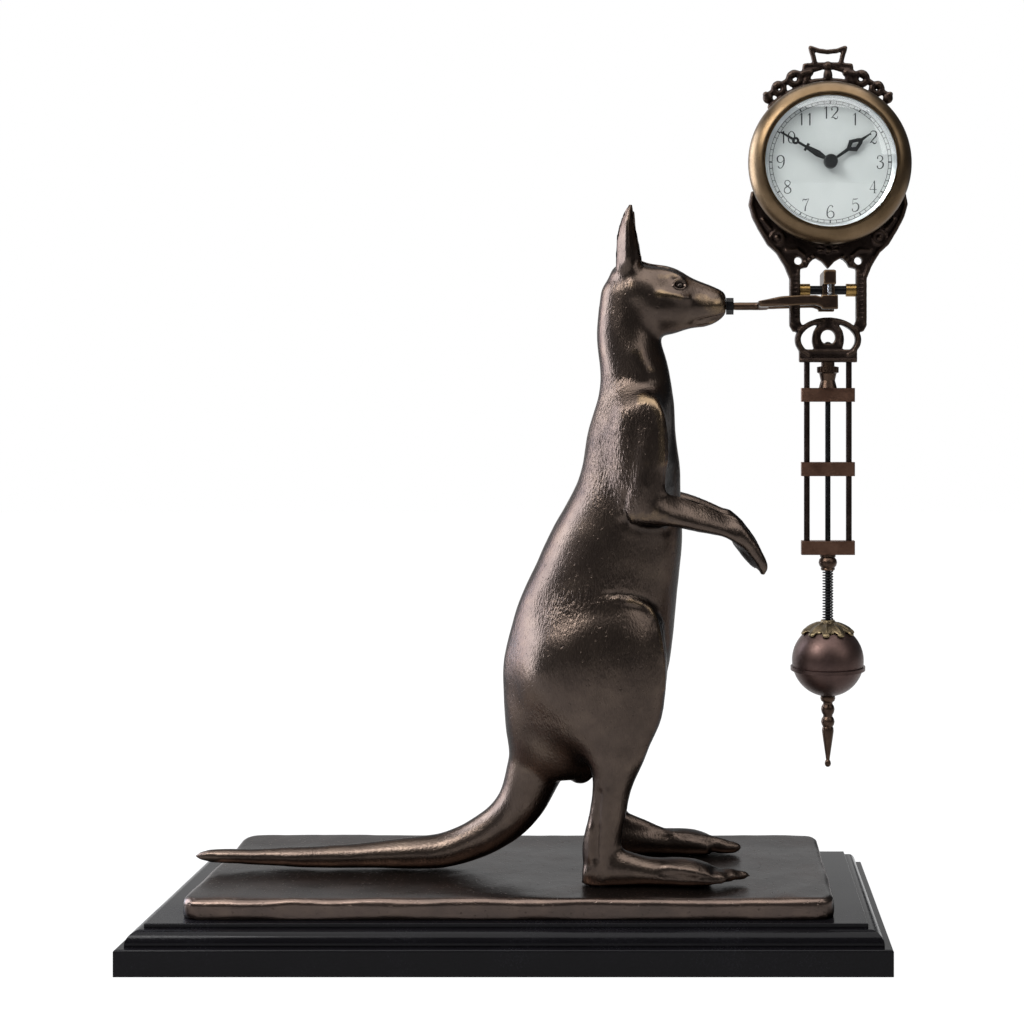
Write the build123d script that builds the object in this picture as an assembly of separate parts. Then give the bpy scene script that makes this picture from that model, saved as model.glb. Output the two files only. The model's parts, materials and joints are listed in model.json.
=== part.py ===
from build123d import *
import math
import os

# Mystery clock: a bronze kangaroo balances a swinging clock on its nose. All sizes are in mm.
# The origin is on the table, under the figure's mid-plane and halfway along the plinth.
# +X is where the figure looks, +Z is up.

# Plinth of black lacquered wood: a flat board and a moulded tier on it
PLINTH_LENGTH = 290.0
PLINTH_DEPTH = 110.0
PLINTH_MIDDLE_Y = 4.0
BOARD_HEIGHT = 10.0
BOARD_EDGE_RADIUS = 0.8
MOULDING_HEIGHT = 7.0
OVOLO_SETBACK = 3.0
OVOLO_RADIUS = 4.6
OVOLO_HEIGHT = 5.3
LIP_SETBACK = 8.5
LIP_EDGE_RADIUS = 0.4
SCREW_RADIUS = 1.6
SCREW_HEAD_RADIUS = 3.2
SCREW_HEAD_HEIGHT = 1.6
SCREW_BITE = 4.0
SCREW_INSET = 26.0

# Bronze ground plate under the figure, bolted to the plinth from below
PLATE_LENGTH = 249.0
PLATE_DEPTH = 86.0
PLATE_HEIGHT = 8.0
PLATE_CORNER_RADIUS = 6.0
PLATE_EDGE_RADIUS = 2.2
BOLT_RADIUS = 2.5
BOLT_BITE = 5.0
BOLT_HEAD_RADIUS = 4.2
BOLT_HEAD_HEIGHT = 3.5
BOLT_POCKET_RADIUS = 6.0
BOLT_POCKET_DEPTH = 4.5
BOLT_SPACING_X = 176.0
BOLT_SPACING_Y = 52.0
STUD_RADIUS = 2.0
STUD_X = 35.0
STUD_RISE = 11.0
STUD_NUT_RADIUS = 4.0
STUD_NUT_HEIGHT = 3.2
STUD_POCKET_RADIUS = 4.6
STUD_POCKET_DEPTH = 3.8

# Clearances: fixed fits have a sliver of air, running fits a little more.
# OVERLAP is how far two shapes of one piece reach into each other before they are united.
FIXED_CLEARANCE = 0.02
OVERLAP = 1.0
RUNNING_CLEARANCE = 0.05

GROUND_Z = BOARD_HEIGHT + MOULDING_HEIGHT + PLATE_HEIGHT

# Figure, heights above the ground plate. Trunk sections: height, middle X, half length, half width
CORE_WALL = 4.5
TRUNK = [
    (37.0, 15.0, 12.0, 8.0),
    (42.0, 15.8, 19.5, 13.5),
    (49.0, 19.0, 23.2, 18.0),
    (58.0, 22.3, 27.7, 22.0),
    (71.0, 25.5, 31.7, 24.0),
    (84.0, 27.4, 33.6, 25.0),
    (97.0, 29.7, 33.0, 25.0),
    (110.0, 32.3, 31.6, 24.5),
    (123.0, 36.0, 29.2, 23.5),
    (136.0, 39.4, 26.7, 22.5),
    (149.0, 42.7, 22.7, 21.5),
    (162.0, 45.3, 19.9, 20.5),
    (175.0, 45.5, 18.0, 19.0),
    (188.0, 47.0, 15.8, 16.5),
    (195.0, 47.3, 14.6, 15.0),
    (204.0, 46.4, 13.8, 13.3),
    (214.0, 44.4, 13.0, 12.3),
    (223.0, 44.7, 12.9, 11.6),
    (231.0, 45.3, 12.5, 11.0),
    (238.0, 46.0, 10.5, 9.2),
]
CORE_FIRST = 2
CORE_LAST = 13

# Head sections along X: X, middle height, half height, half width
HEAD = [
    (37.5, 231.5, 7.0, 7.0),
    (43.0, 232.3, 12.4, 11.0),
    (51.0, 231.2, 14.2, 12.4),
    (58.0, 229.9, 14.3, 12.3),
    (64.5, 229.6, 12.7, 11.2),
    (69.5, 228.9, 10.4, 9.4),
    (75.6, 228.0, 8.8, 7.6),
    (80.0, 228.0, 7.0, 6.6),
    (82.8, 228.3, 5.1, 5.2),
    (83.8, 228.3, 3.4, 4.0),
]

# Ear sections: height, middle X, offset from the mid-plane, half length, half width
EAR = [
    (240.0, 43.9, 7.6, 5.0, 3.2),
    (250.0, 44.1, 8.6, 5.1, 3.6),
    (259.0, 44.1, 9.6, 3.4, 2.7),
    (265.5, 45.0, 10.2, 1.8, 1.5),
    (268.5, 46.0, 10.4, 0.6, 0.6),
]

# Tail points: X, height of the middle, radius; the tail rests on the ground plate
TAIL = [
    (14.0, 59.0, 14.0),
    (8.5, 45.0, 12.4),
    (4.5, 35.0, 10.8),
    (-0.3, 25.2, 9.5),
    (-8.7, 16.9, 8.5),
    (-20.0, 10.7, 7.6),
    (-32.0, 7.0, 6.9),
    (-51.0, 5.8, 5.8),
    (-72.0, 4.8, 4.7),
    (-94.0, 4.5, 3.9),
    (-115.0, 4.8, 3.1),
    (-126.5, 5.0, 2.4),
    (-131.5, 4.8, 0.8),
]

# Hind leg from the haunch to the heel: height, middle X, offset, half length, half width
LEG = [
    (115.5, 36.0, 13.0, 8.0, 5.0),
    (109.5, 36.0, 15.0, 18.5, 9.0),
    (99.0, 33.0, 16.0, 26.0, 12.3),
    (85.0, 31.0, 17.0, 29.3, 13.2),
    (72.0, 31.5, 17.5, 28.0, 12.5),
    (61.0, 34.5, 18.2, 22.5, 10.9),
    (53.0, 37.6, 19.2, 15.6, 9.3),
    (45.0, 39.9, 20.0, 10.0, 7.8),
    (37.0, 38.7, 20.4, 7.8, 6.3),
    (28.0, 37.1, 20.5, 7.4, 5.4),
    (20.0, 35.4, 20.5, 7.6, 5.0),
    (12.0, 34.6, 20.5, 7.8, 5.0),
    (0.0, 33.5, 20.5, 7.6, 4.6),
]

# Hind foot sections along X: X, middle height, half height, half width
FOOT_Y = 20.5
FOOT = [
    (27.0, 3.5, 4.2, 3.6),
    (38.0, 6.0, 8.0, 5.6),
    (46.0, 5.5, 7.0, 5.8),
    (54.0, 4.8, 5.6, 6.0),
    (64.5, 4.6, 5.7, 6.8),
    (71.5, 4.3, 5.2, 7.2),
    (78.0, 3.3, 3.9, 6.7),
    (86.0, 2.3, 2.6, 4.4),
    (92.0, 1.5, 1.2, 1.4),
]

# Fore limb: X, offset, height, radius along the upper arm and along the forearm and paw
UPPER_ARM = [
    (49.0, 11.0, 192.0, 5.0),
    (51.0, 15.5, 184.0, 7.6),
    (52.5, 18.0, 172.0, 8.6),
    (52.0, 19.3, 160.0, 8.2),
    (51.0, 20.0, 149.0, 7.2),
    (50.5, 20.0, 143.0, 5.0),
]
FOREARM = [
    (43.6, 19.5, 146.2, 2.4),
    (47.5, 20.0, 146.6, 5.8),
    (57.0, 20.0, 146.5, 6.6),
    (69.0, 19.2, 144.3, 6.0),
    (79.0, 18.4, 141.2, 5.0),
    (86.2, 17.8, 138.0, 4.0),
    (93.0, 17.2, 131.0, 3.8),
    (97.5, 17.0, 124.5, 3.0),
    (98.9, 16.9, 121.0, 1.2),
]

# Support fork screwed into the nose; its two prongs carry the bearing cups
NOSE_X = HEAD[-1][0]
FORK_RISE = 227.5
FORK_SHANK_RADIUS = 1.5
FORK_SHANK_BITE = 14.0
LOCK_NUT_RADIUS = 3.4
LOCK_NUT_LENGTH = 3.0
FORK_ROD_RADIUS = 1.7
FORK_FRAME_AIR = 8.4
FORK_CROTCH_LENGTH = 4.5
PRONG_HEIGHT = 4.0
PRONG_THICKNESS = 2.8
PRONG_GAP = 13.6
PRONG_LIFT = 1.2
PRONG_FILLET = 1.2
PAD_LENGTH = 6.6
PAD_HEIGHT = 5.8
PIVOT_REACH = 41.2
CUP_RADIUS = 1.1
CUP_DEPTH = 3.0
CUP_RIM = 0.3

PIVOT_X = NOSE_X + PIVOT_REACH
FORK_Z = GROUND_Z + FORK_RISE
PRONG_Z = FORK_Z + PRONG_LIFT
PAD_TOP_Z = PRONG_Z + PAD_HEIGHT / 2
PRONG_Y = PRONG_GAP / 2 + PRONG_THICKNESS / 2

# Pivot points of the swinger; every height of the swinger counts from their tips
PIN_RADIUS = 0.9
PIN_TIP_RADIUS = 0.15
PIN_CONE = 1.9
CUP_AIR = 0.3
CUP_SINK = 1.0
PIVOT_Z = PAD_TOP_Z - CUP_SINK

# Yoke across the frame's window, on a cross shaft between the frame's legs
YOKE_WIDTH = 5.0
YOKE_BAR_BOTTOM = 5.0
YOKE_BAR_TOP = 11.0
YOKE_STEM_DEPTH = 7.0
YOKE_STEM_BOTTOM = -2.6
YOKE_EDGE_RADIUS = 0.8
SHAFT_RISE = 3.4
SHAFT_RADIUS = 1.8
SHAFT_BITE = 2.4
COLLAR_RADIUS = 2.6
COLLAR_LENGTH = 4.0

# Cast clock frame: a cradle under the case, two legs, and a scrolled ring below the window
FRAME_THICKNESS = 4.4
LEG_INNER = 11.3
LEG_OUTER = 15.6
CRADLE = [(31.2, 43.0), (32.2, 38.0), (30.8, 33.0), (28.4, 28.2), (24.5, 21.7), (20.9, 18.4), (17.6, 13.0)]
CRADLE_ARCHES = [(8.4, 12.6), (7.4, 14.5), (5.4, 16.5), (2.6, 14.9), (0.0, 12.0)]
WINDOW_TOP = 12.0
CRADLE_HOLE_RADIUS = 1.6
CRADLE_HOLE = (12.1, 15.2)
LEG_SHOULDER = 8.0
LEG_FOOT = [(LEG_OUTER, -11.0), (LEG_OUTER - 1.4, -13.5), (LEG_INNER - 1.8, -13.5), (LEG_INNER, -9.0)]
FORK_CROTCH_X = PIVOT_X - LEG_OUTER - FORK_FRAME_AIR
RING_MIDDLE = -16.7
RING_HALF_WIDTH = 13.4
RING_HALF_HEIGHT = 9.0
RING_SLOT_OUTER = (11.0, 6.8)
RING_LYRE = (6.4, 7.8)
RING_EYE_RADIUS = 3.0
RING_EYE_RISE = 1.0
FOOT_BAR_TOP = -20.6
FOOT_BAR_BOTTOM = -25.8
FOOT_BAR_HALF = 11.7

# Clock case, dial and glass; depths count along Y from the frame's mid-plane
CASE_RISE = 53.5
DRUM_RADIUS = 28.0
DRUM_WALL = 1.2
DRUM_FRONT = -10.0
DRUM_BACK = 12.0
COVER_THICKNESS = 1.2
COVER_SPIGOT = 1.6
COVER_HOLE_AIR = 0.4
BEZEL_RADIUS = 32.2
BEZEL_BACK = -7.5
BEZEL_FRONT = -15.4
BEZEL_SIGHT_RADIUS = 26.0
BEZEL_SEAT_RADIUS = 27.6
BEZEL_LIP = 0.4
BEZEL_CROWN = 3.2
BEZEL_SKIRT = 2.5
BEZEL_BACK_TAPER = 0.6
GLASS_RIM = 1.0
GLASS_THICKNESS = 1.1
GLASS_RISE = 4.2
DIAL_RADIUS = 27.5
DIAL_THICKNESS = 0.7
DIAL_BORE = 2.6
SIGHT_RING_INNER = 25.0

# Crest: an arc of scrolls on top of the case with a tied ribbon bow
CREST_THICKNESS = 3.0
CREST_BAND_RADIUS = 35.4
CREST_HALF_ANGLE = 50.0
CREST_SCROLLS = [(13.2, 36.0, 3.6, 1.4), (19.6, 32.1, 3.1, 1.1), (24.0, 27.3, 2.5, 0.8)]
BOW_LOOP_HALF = 7.2
BOW_LOOP_TOP = 48.4
BOW_LOOP_BOTTOM = 41.6
BOW_LOOP_WALL = 1.5
BOW_KNOT_RADIUS = 3.2
BOW_KNOT_RISE = 38.6
BOW_TIE_HALF = 7.6
BOW_TIE_BOTTOM = 33.0
BOW_WAIST_HALF = 2.0

# Movement: two plates, a geared train and the motion work under the dial
PLATE_T = 1.2
FRONT_PLATE_BACK = -5.0
BACK_PLATE_FRONT = 6.8
PILLAR_RADIUS = 1.6
PILLAR_CIRCLE = 22.5
PILLAR_ANGLES = [110.0, 165.0, 285.0, 325.0]
ARBOR_RADIUS = 0.7
PIVOT_HOLE_DEPTH = 0.9
END_SHAKE = 0.1
PINION_MARGIN = 0.3
PRESSURE_ANGLE = 20.0
TOOTH_ADDENDUM = 0.8
TOOTH_DEDENDUM = 1.2
TOOTH_SLACK = 0.3
MESH_SPREAD = 0.08
FLANK_STEPS = 2
CANNON_TEETH = 12
MINUTE_WHEEL_TEETH = 36
MINUTE_PINION_TEETH = 10
HOUR_WHEEL_TEETH = 40
MOTION_MODULE = 0.5
MOTION_ANGLE = 100.0
MOTION_STUD = 3.4
MOTION_WHEEL_T = 0.8
MOTION_PINION_T = 1.4
MOTION_AIR = 0.3
CANNON_PINION_T = 1.2
BARREL_TEETH = 48
CENTRE_PINION_TEETH = 8
BARREL_MODULE = 0.4
BARREL_ANGLE = 225.0
BARREL_RADIUS = 8.4
BARREL_WALL = 0.8
BARREL_ARBOR_RADIUS = 1.4
HOOK_DRUM_RADIUS = 3.3
COIL_AIR = 0.1
BARREL_FRONT = -2.9
BARREL_BACK = 3.2
GREAT_WHEEL_T = 1.0
CENTRE_TEETH = 64
THIRD_PINION_TEETH = 8
CENTRE_MODULE = 0.28
CENTRE_WHEEL_FRONT = -4.4
CENTRE_WHEEL_T = 0.8
THIRD_ANGLE = 20.0
THIRD_TEETH = 60
ESCAPE_PINION_TEETH = 8
THIRD_MODULE = 0.26
THIRD_WHEEL_FRONT = 1.0
THIRD_WHEEL_T = 0.6
ESCAPE_ANGLE = 132.0
ESCAPE_TEETH = 30
ESCAPE_RADIUS = 5.0
ESCAPE_ROOT = 4.1
ESCAPE_FRONT = 4.4
ESCAPE_T = 0.4
ESCAPE_TOOTH_LEAN = 0.25
ESCAPE_CROSSINGS = 4
ESCAPE_HOLE_CIRCLE = 2.25
ESCAPE_HOLE_RADIUS = 1.2
ANCHOR_DISTANCE = 7.2
ANCHOR_ANGLE = 82.0
ANCHOR_AIR = 0.45
ANCHOR_WIDTH = 1.1
ANCHOR_SPAN = 46.0
ANCHOR_HUB_RADIUS = 1.5
ANCHOR_MARGIN = 0.2
SWING_ROD_LENGTH = 28.0
SWING_BOB_RADIUS = 4.2
SWING_BOB_T = 2.0
SWING_FRONT = 8.6
SWING_HUB_RADIUS = 2.0
SWING_ROD_WIDTH = 1.0
SWING_ROD_T = 0.8
KEY_STEM = 7.0
KEY_WALL = 1.0
KEY_AIR = 0.6
KEY_WING_RADIUS = 4.0
KEY_WING_X = 3.2
KEY_WING_T = 1.6
KNOB_RADIUS = 4.0
KNOB_T = 3.0
KNOB_CHAMFER = 0.5

# Hands point to twelve when built and are then turned to ten minutes to two
CENTRE_ARBOR_RADIUS = 0.8
CANNON_RADIUS = 1.25
HOUR_PIPE_RADIUS = 1.9
HOUR_HAND_FRONT = -12.2
HOUR_HAND_LENGTH = 19.0
MINUTE_HAND_FRONT = -13.5
MINUTE_HAND_LENGTH = 22.8
HAND_T = 0.45
HAND_CAP_RADIUS = 2.75
HAND_CAP_T = 1.0
HAND_HUB_WALL = 0.9
HOUR_ANGLE = 55.0
MINUTE_ANGLE = 300.0

# Hand outlines: half width, and distance as a share of the hand's length
HOUR_BLADE = [(0.5, 0.05), (0.5, 0.48), (0.4, 0.5)]
HOUR_SPADE = [(0.5, 0.44), (2.5, 0.57), (1.2, 0.74), (0.4, 0.8), (0.15, 1.0)]
HOUR_HEART = [(0.3, 0.52), (1.2, 0.6), (0.3, 0.71)]
MINUTE_BLADE = [(0.5, 0.05), (1.15, 0.26), (0.7, 0.47)]
MINUTE_BAR = [(1.5, 0.465), (1.5, 0.5)]
MINUTE_STEM = [(0.35, 0.49), (0.3, 0.78), (0.15, 1.0)]
MINUTE_EYE = 0.705
MINUTE_EYE_RADII = (1.25, 0.7)

# Gridiron pendulum, spring, ball and finial below the frame; heights from the pivot points
BAR_HALF_LENGTH = 10.8
BAR_DEPTH = 5.0
BAR_HEIGHT = 5.6
BAR_EDGE_RADIUS = 0.6
BAR_TOPS = [-36.2, -66.2, -98.0]
SIDE_ROD_RADIUS = 1.2
SIDE_ROD_X = 8.5
SIDE_ROD_BITE = 3.4
CENTRE_ROD_RADIUS = 1.1
THUMB_NUT_RADIUS = 4.4
THUMB_NUT_COLLAR = 2.7
THUMB_NUT_KNURL = (1.9, 4.1)
THUMB_NUT_VASE = [(3.5, 4.6), (2.9, 7.4), (3.7, 10.4)]
THUMB_NUT_FLUTES = 20
THUMB_NUT_FLUTE_RADIUS = 0.35
BALL_NUT_HEIGHT = 6.4
BALL_NUT_RADIUS = 3.8
SPRING_LENGTH = 20.0
SPRING_RADIUS = 1.95
SPRING_WIRE_RADIUS = 0.3
SPRING_TURNS = 17
BOB_RADIUS = 14.5
BOB_WALL = 0.8
BOB_SEAM_RADIUS = 15.1
BOB_SEAM_HEIGHT = 1.4
BOB_SEAM_DROP = 2.4
LEAF_CAP_RADIUS = 9.0
LEAF_CAP_T = 0.7
LEAF_COLLAR_RADIUS = 2.9
LEAF_COLLAR_HEIGHT = 1.2
LEAF_COUNT = 10
LEAF_NOTCH_RADIUS = 1.1
FINIAL_LENGTH = 28.7
FINIAL_TIP_RADIUS = 1.3
FINIAL = [
    (2.2, 0.0),
    (3.0, 0.6),
    (3.0, 2.0),
    (2.2, 2.6),
    (3.05, 4.2),
    (3.1, 8.6),
    (2.3, 9.6),
    (3.0, 10.2),
    (3.0, 11.6),
    (2.4, 12.2),
    (3.0, 12.8),
    (3.0, 14.0),
    (2.6, 15.6),
    (0.8, 26.5),
]
FINIAL_BORE = 17.0
ROD_IN_FINIAL = 9.5

BALL_NUT_BOTTOM = BAR_TOPS[2] - BAR_HEIGHT - BALL_NUT_HEIGHT
LEAF_CAP_HEIGHT = LEAF_COLLAR_HEIGHT + LEAF_CAP_T
BOB_Z = BALL_NUT_BOTTOM - SPRING_LENGTH - LEAF_CAP_HEIGHT - BOB_RADIUS


def ring(outer, inner, height):
    return Cylinder(outer, height, align=(Align.CENTER, Align.CENTER, Align.MIN)) - Cylinder(
        inner, height, align=(Align.CENTER, Align.CENTER, Align.MIN)
    )


def rod(radius, low, high):
    return Pos(0, 0, low) * Cylinder(radius, high - low, align=(Align.CENTER, Align.CENTER, Align.MIN))


def rod_along_x(radius, start, end):
    return Pos(start, 0, 0) * Rot(0, 90, 0) * rod(radius, 0, end - start)


def rod_along_y(radius, front, back):
    return Pos(0, front, 0) * Rot(-90, 0, 0) * rod(radius, 0, back - front)


def block(x0, x1, y0, y1, z0, z1):
    return Pos((x0 + x1) / 2, (y0 + y1) / 2, (z0 + z1) / 2) * Box(x1 - x0, y1 - y0, z1 - z0)


def turned(points):
    """Solid of revolution about Z from (radius, height) points."""
    return revolve(Plane.XZ * make_face(Polyline(*points, close=True)), Axis.Z)


def turned_about_y(points):
    """Solid of revolution about Y from (radius, depth) points."""
    return revolve(make_face(Polyline(*points, close=True)), Axis.Y)


def front_plate_shape(sketch, front, thickness):
    """A flat sketch drawn in X and Z, standing up, from its front face backwards."""
    return Pos(0, front + thickness, 0) * extrude(Plane.XZ * sketch, thickness)


def hexagon_prism(radius, height):
    return extrude(RegularPolygon(radius, 6), height)


def plinth_board():
    board = Pos(0, PLINTH_MIDDLE_Y, BOARD_HEIGHT / 2) * Box(PLINTH_LENGTH, PLINTH_DEPTH, BOARD_HEIGHT)
    board = fillet(board.edges().group_by(Axis.Z)[-1], BOARD_EDGE_RADIUS)
    for place in bolt_places():
        board -= place * rod(BOLT_RADIUS + RUNNING_CLEARANCE, 0, BOARD_HEIGHT)
        board -= place * rod(BOLT_POCKET_RADIUS, 0, BOLT_POCKET_DEPTH)
    for place in screw_places():
        board -= place * rod(SCREW_RADIUS + FIXED_CLEARANCE, 0, BOARD_HEIGHT)
        board -= place * rod(SCREW_HEAD_RADIUS + FIXED_CLEARANCE, 0, SCREW_HEAD_HEIGHT)
    return board


def plinth_moulding():
    ovolo = Box(PLINTH_LENGTH - 2 * OVOLO_SETBACK, PLINTH_DEPTH - 2 * OVOLO_SETBACK, OVOLO_HEIGHT)
    ovolo = Pos(0, PLINTH_MIDDLE_Y, BOARD_HEIGHT + OVOLO_HEIGHT / 2) * ovolo
    ovolo = fillet(ovolo.edges().group_by(Axis.Z)[-1], OVOLO_RADIUS)
    lip = Box(PLINTH_LENGTH - 2 * LIP_SETBACK, PLINTH_DEPTH - 2 * LIP_SETBACK, MOULDING_HEIGHT)
    lip = Pos(0, PLINTH_MIDDLE_Y, BOARD_HEIGHT + MOULDING_HEIGHT / 2) * lip
    lip = fillet(lip.edges().group_by(Axis.Z)[-1], LIP_EDGE_RADIUS)
    tier = ovolo + lip
    for place in bolt_places():
        tier -= place * rod(BOLT_RADIUS + RUNNING_CLEARANCE, 0, GROUND_Z)
    for place in screw_places():
        tier -= place * rod(SCREW_RADIUS + FIXED_CLEARANCE, 0, BOARD_HEIGHT + SCREW_BITE)
    return tier


def screw_places():
    x = PLINTH_LENGTH / 2 - SCREW_INSET
    y = PLINTH_DEPTH / 2 - SCREW_INSET
    return [Pos(a * x, PLINTH_MIDDLE_Y + b * y, 0) for a in (-1, 1) for b in (-1, 1)]


def plinth_screws():
    screw = rod(SCREW_RADIUS, 0, BOARD_HEIGHT + SCREW_BITE) + rod(SCREW_HEAD_RADIUS, 0, SCREW_HEAD_HEIGHT)
    slot = Box(2 * SCREW_HEAD_RADIUS, SCREW_HEAD_HEIGHT / 2, SCREW_HEAD_HEIGHT)
    return [place * (screw - slot) for place in screw_places()]


def bolt_places():
    x = BOLT_SPACING_X / 2
    y = BOLT_SPACING_Y / 2
    return [Pos(a * x, PLINTH_MIDDLE_Y + b * y, 0) for a in (-1, 1) for b in (-1, 1)]


def plate_bolts():
    top = GROUND_Z - PLATE_HEIGHT + BOLT_BITE
    head = Pos(0, 0, BOLT_POCKET_DEPTH - BOLT_HEAD_HEIGHT) * hexagon_prism(BOLT_HEAD_RADIUS, BOLT_HEAD_HEIGHT)
    bolt = head + rod(BOLT_RADIUS, BOLT_POCKET_DEPTH - BOLT_HEAD_HEIGHT, top)
    return [place * bolt for place in bolt_places()]


def stud_places():
    return [Pos(STUD_X, side * FOOT_Y, 0) for side in (-1, 1)]


def ground_plate():
    slab = extrude(RectangleRounded(PLATE_LENGTH, PLATE_DEPTH, PLATE_CORNER_RADIUS), PLATE_HEIGHT)
    slab = fillet(slab.edges().group_by(Axis.Z)[-1], PLATE_EDGE_RADIUS)
    slab = Pos(0, PLINTH_MIDDLE_Y, GROUND_Z - PLATE_HEIGHT) * slab
    for place in bolt_places():
        slab -= place * rod(BOLT_RADIUS + FIXED_CLEARANCE, 0, GROUND_Z - PLATE_HEIGHT + BOLT_BITE)
    for place in stud_places():
        slab -= place * rod(STUD_RADIUS + RUNNING_CLEARANCE, 0, GROUND_Z)
        slab -= place * rod(STUD_POCKET_RADIUS, 0, GROUND_Z - PLATE_HEIGHT + STUD_POCKET_DEPTH)
    return slab


def foot_studs():
    low = GROUND_Z - PLATE_HEIGHT + STUD_POCKET_DEPTH - STUD_NUT_HEIGHT
    return [place * rod(STUD_RADIUS, low, GROUND_Z + STUD_RISE) for place in stud_places()]


def foot_nuts():
    low = GROUND_Z - PLATE_HEIGHT + STUD_POCKET_DEPTH - STUD_NUT_HEIGHT
    nut = Pos(0, 0, low) * hexagon_prism(STUD_NUT_RADIUS, STUD_NUT_HEIGHT)
    nut -= rod(STUD_RADIUS + FIXED_CLEARANCE, 0, GROUND_Z)
    return [place * nut for place in stud_places()]


def level_loft(rows, side=0.0, shrink=0.0):
    """Loft of level ellipses; rows hold height, X, (offset,) half length and half width."""
    sections = []
    for row in rows:
        height, x = row[0], row[1]
        y = side * row[2] if len(row) == 5 else 0.0
        plane = Plane(origin=(x, y, GROUND_Z + height))
        sections.append(plane * Ellipse(row[-2] - shrink, row[-1] - shrink))
    return loft(sections)


def upright_loft(rows, y=0.0):
    """Loft of ellipses standing across X; rows hold X, height, half height and half width."""
    sections = []
    for x, height, half_height, half_width in rows:
        plane = Plane(origin=(x, y, GROUND_Z + height), x_dir=(0, 1, 0), z_dir=(1, 0, 0))
        sections.append(plane * Ellipse(half_width, half_height))
    return loft(sections)


def limb_loft(rows, side=0.0):
    """Loft of circles square to the line through their middles: X, (offset,) height, radius."""
    middles = []
    for row in rows:
        y = side * row[1] if len(row) == 4 else 0.0
        middles.append(Vector(row[0], y, GROUND_Z + row[-2]))
    sections = []
    for i, row in enumerate(rows):
        before = middles[max(i - 1, 0)]
        after = middles[min(i + 1, len(rows) - 1)]
        along = (after - before).normalized()
        across = along.cross(Vector(0, 1, 0)).cross(along)
        sections.append(Plane(origin=middles[i], x_dir=across, z_dir=along) * Circle(row[-1]))
    return loft(sections)


def torso_solid():
    body = level_loft(TRUNK) + upright_loft(HEAD)
    for side in (-1, 1):
        body += level_loft(EAR, side)
    return body


def figure_torso(solid):
    """The torso casting: hollow trunk, and a threaded hole in the nose for the fork."""
    core = level_loft(TRUNK[CORE_FIRST:CORE_LAST], shrink=CORE_WALL)
    hole = rod_along_x(FORK_SHANK_RADIUS + FIXED_CLEARANCE, NOSE_X - FORK_SHANK_BITE, NOSE_X + OVERLAP)
    return solid - core - Pos(0, 0, FORK_Z) * hole


def above_ground(shape):
    reach = PLINTH_LENGTH
    return shape - block(-reach, reach, -reach, reach, -reach, GROUND_Z)


def figure_tail(solid):
    return above_ground(limb_loft(TAIL) - solid)


def figure_leg(solid, tail, side):
    leg = level_loft(LEG, side) + upright_loft(FOOT, side * FOOT_Y)
    leg = above_ground(leg - solid - tail)
    stud = rod(STUD_RADIUS + FIXED_CLEARANCE, 0, GROUND_Z + STUD_RISE)
    return largest(leg - Pos(STUD_X, side * FOOT_Y, 0) * stud)


def figure_arm(solid, side):
    return largest(limb_loft(UPPER_ARM, side) + limb_loft(FOREARM, side) - solid)


def largest(shape):
    return max(shape.solids(), key=lambda piece: piece.volume)


def support_fork():
    fork = rod_along_x(FORK_SHANK_RADIUS, NOSE_X - FORK_SHANK_BITE, NOSE_X + LOCK_NUT_LENGTH + OVERLAP)
    fork += rod_along_x(FORK_ROD_RADIUS, NOSE_X + LOCK_NUT_LENGTH, FORK_CROTCH_X)
    fork = Pos(0, 0, FORK_Z) * fork
    half = PRONG_Y + PRONG_THICKNESS / 2
    low = PRONG_Z - PRONG_HEIGHT / 2
    crotch = block(FORK_CROTCH_X - FORK_CROTCH_LENGTH, FORK_CROTCH_X, -half, half, low, low + PRONG_HEIGHT)
    fork += fillet(crotch.edges().filter_by(Axis.Z).group_by(Axis.X)[0], PRONG_FILLET)
    for side in (-1, 1):
        y0 = side * PRONG_Y - PRONG_THICKNESS / 2
        y1 = side * PRONG_Y + PRONG_THICKNESS / 2
        fork += block(FORK_CROTCH_X - OVERLAP, PIVOT_X, y0, y1, low, low + PRONG_HEIGHT)
        pad_low = PAD_TOP_Z - PAD_HEIGHT
        pad = block(PIVOT_X - PAD_LENGTH / 2, PIVOT_X + PAD_LENGTH / 2, y0, y1, pad_low, PAD_TOP_Z)
        fork += pad
        seat = rod(CUP_RADIUS + FIXED_CLEARANCE, PAD_TOP_Z - CUP_DEPTH, PAD_TOP_Z)
        fork -= Pos(PIVOT_X, side * PRONG_Y, 0) * seat
    return fork


def lock_nut():
    nut = Rot(0, 90, 0) * hexagon_prism(LOCK_NUT_RADIUS, LOCK_NUT_LENGTH)
    nut -= rod_along_x(FORK_SHANK_RADIUS + FIXED_CLEARANCE, 0, LOCK_NUT_LENGTH)
    return Pos(NOSE_X, 0, FORK_Z) * nut


def bearing_cups():
    """Hardened cups: an open cone whose bottom lies just under the pivot point."""
    bottom = PIVOT_Z - CUP_AIR
    depth = PAD_TOP_Z - bottom
    wide = CUP_RADIUS - CUP_RIM / 2
    hollow = Pos(0, 0, bottom) * Cone(CUP_RIM, wide, depth, align=(Align.CENTER, Align.CENTER, Align.MIN))
    cup = rod(CUP_RADIUS, PAD_TOP_Z - CUP_DEPTH, PAD_TOP_Z) - hollow
    return [Pos(PIVOT_X, side * PRONG_Y, 0) * cup for side in (-1, 1)]


def hang(shape):
    """Moves a shape from the swinger's own frame, with its origin at the pivots, to its place."""
    return Pos(PIVOT_X, 0, PIVOT_Z) * shape


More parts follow.
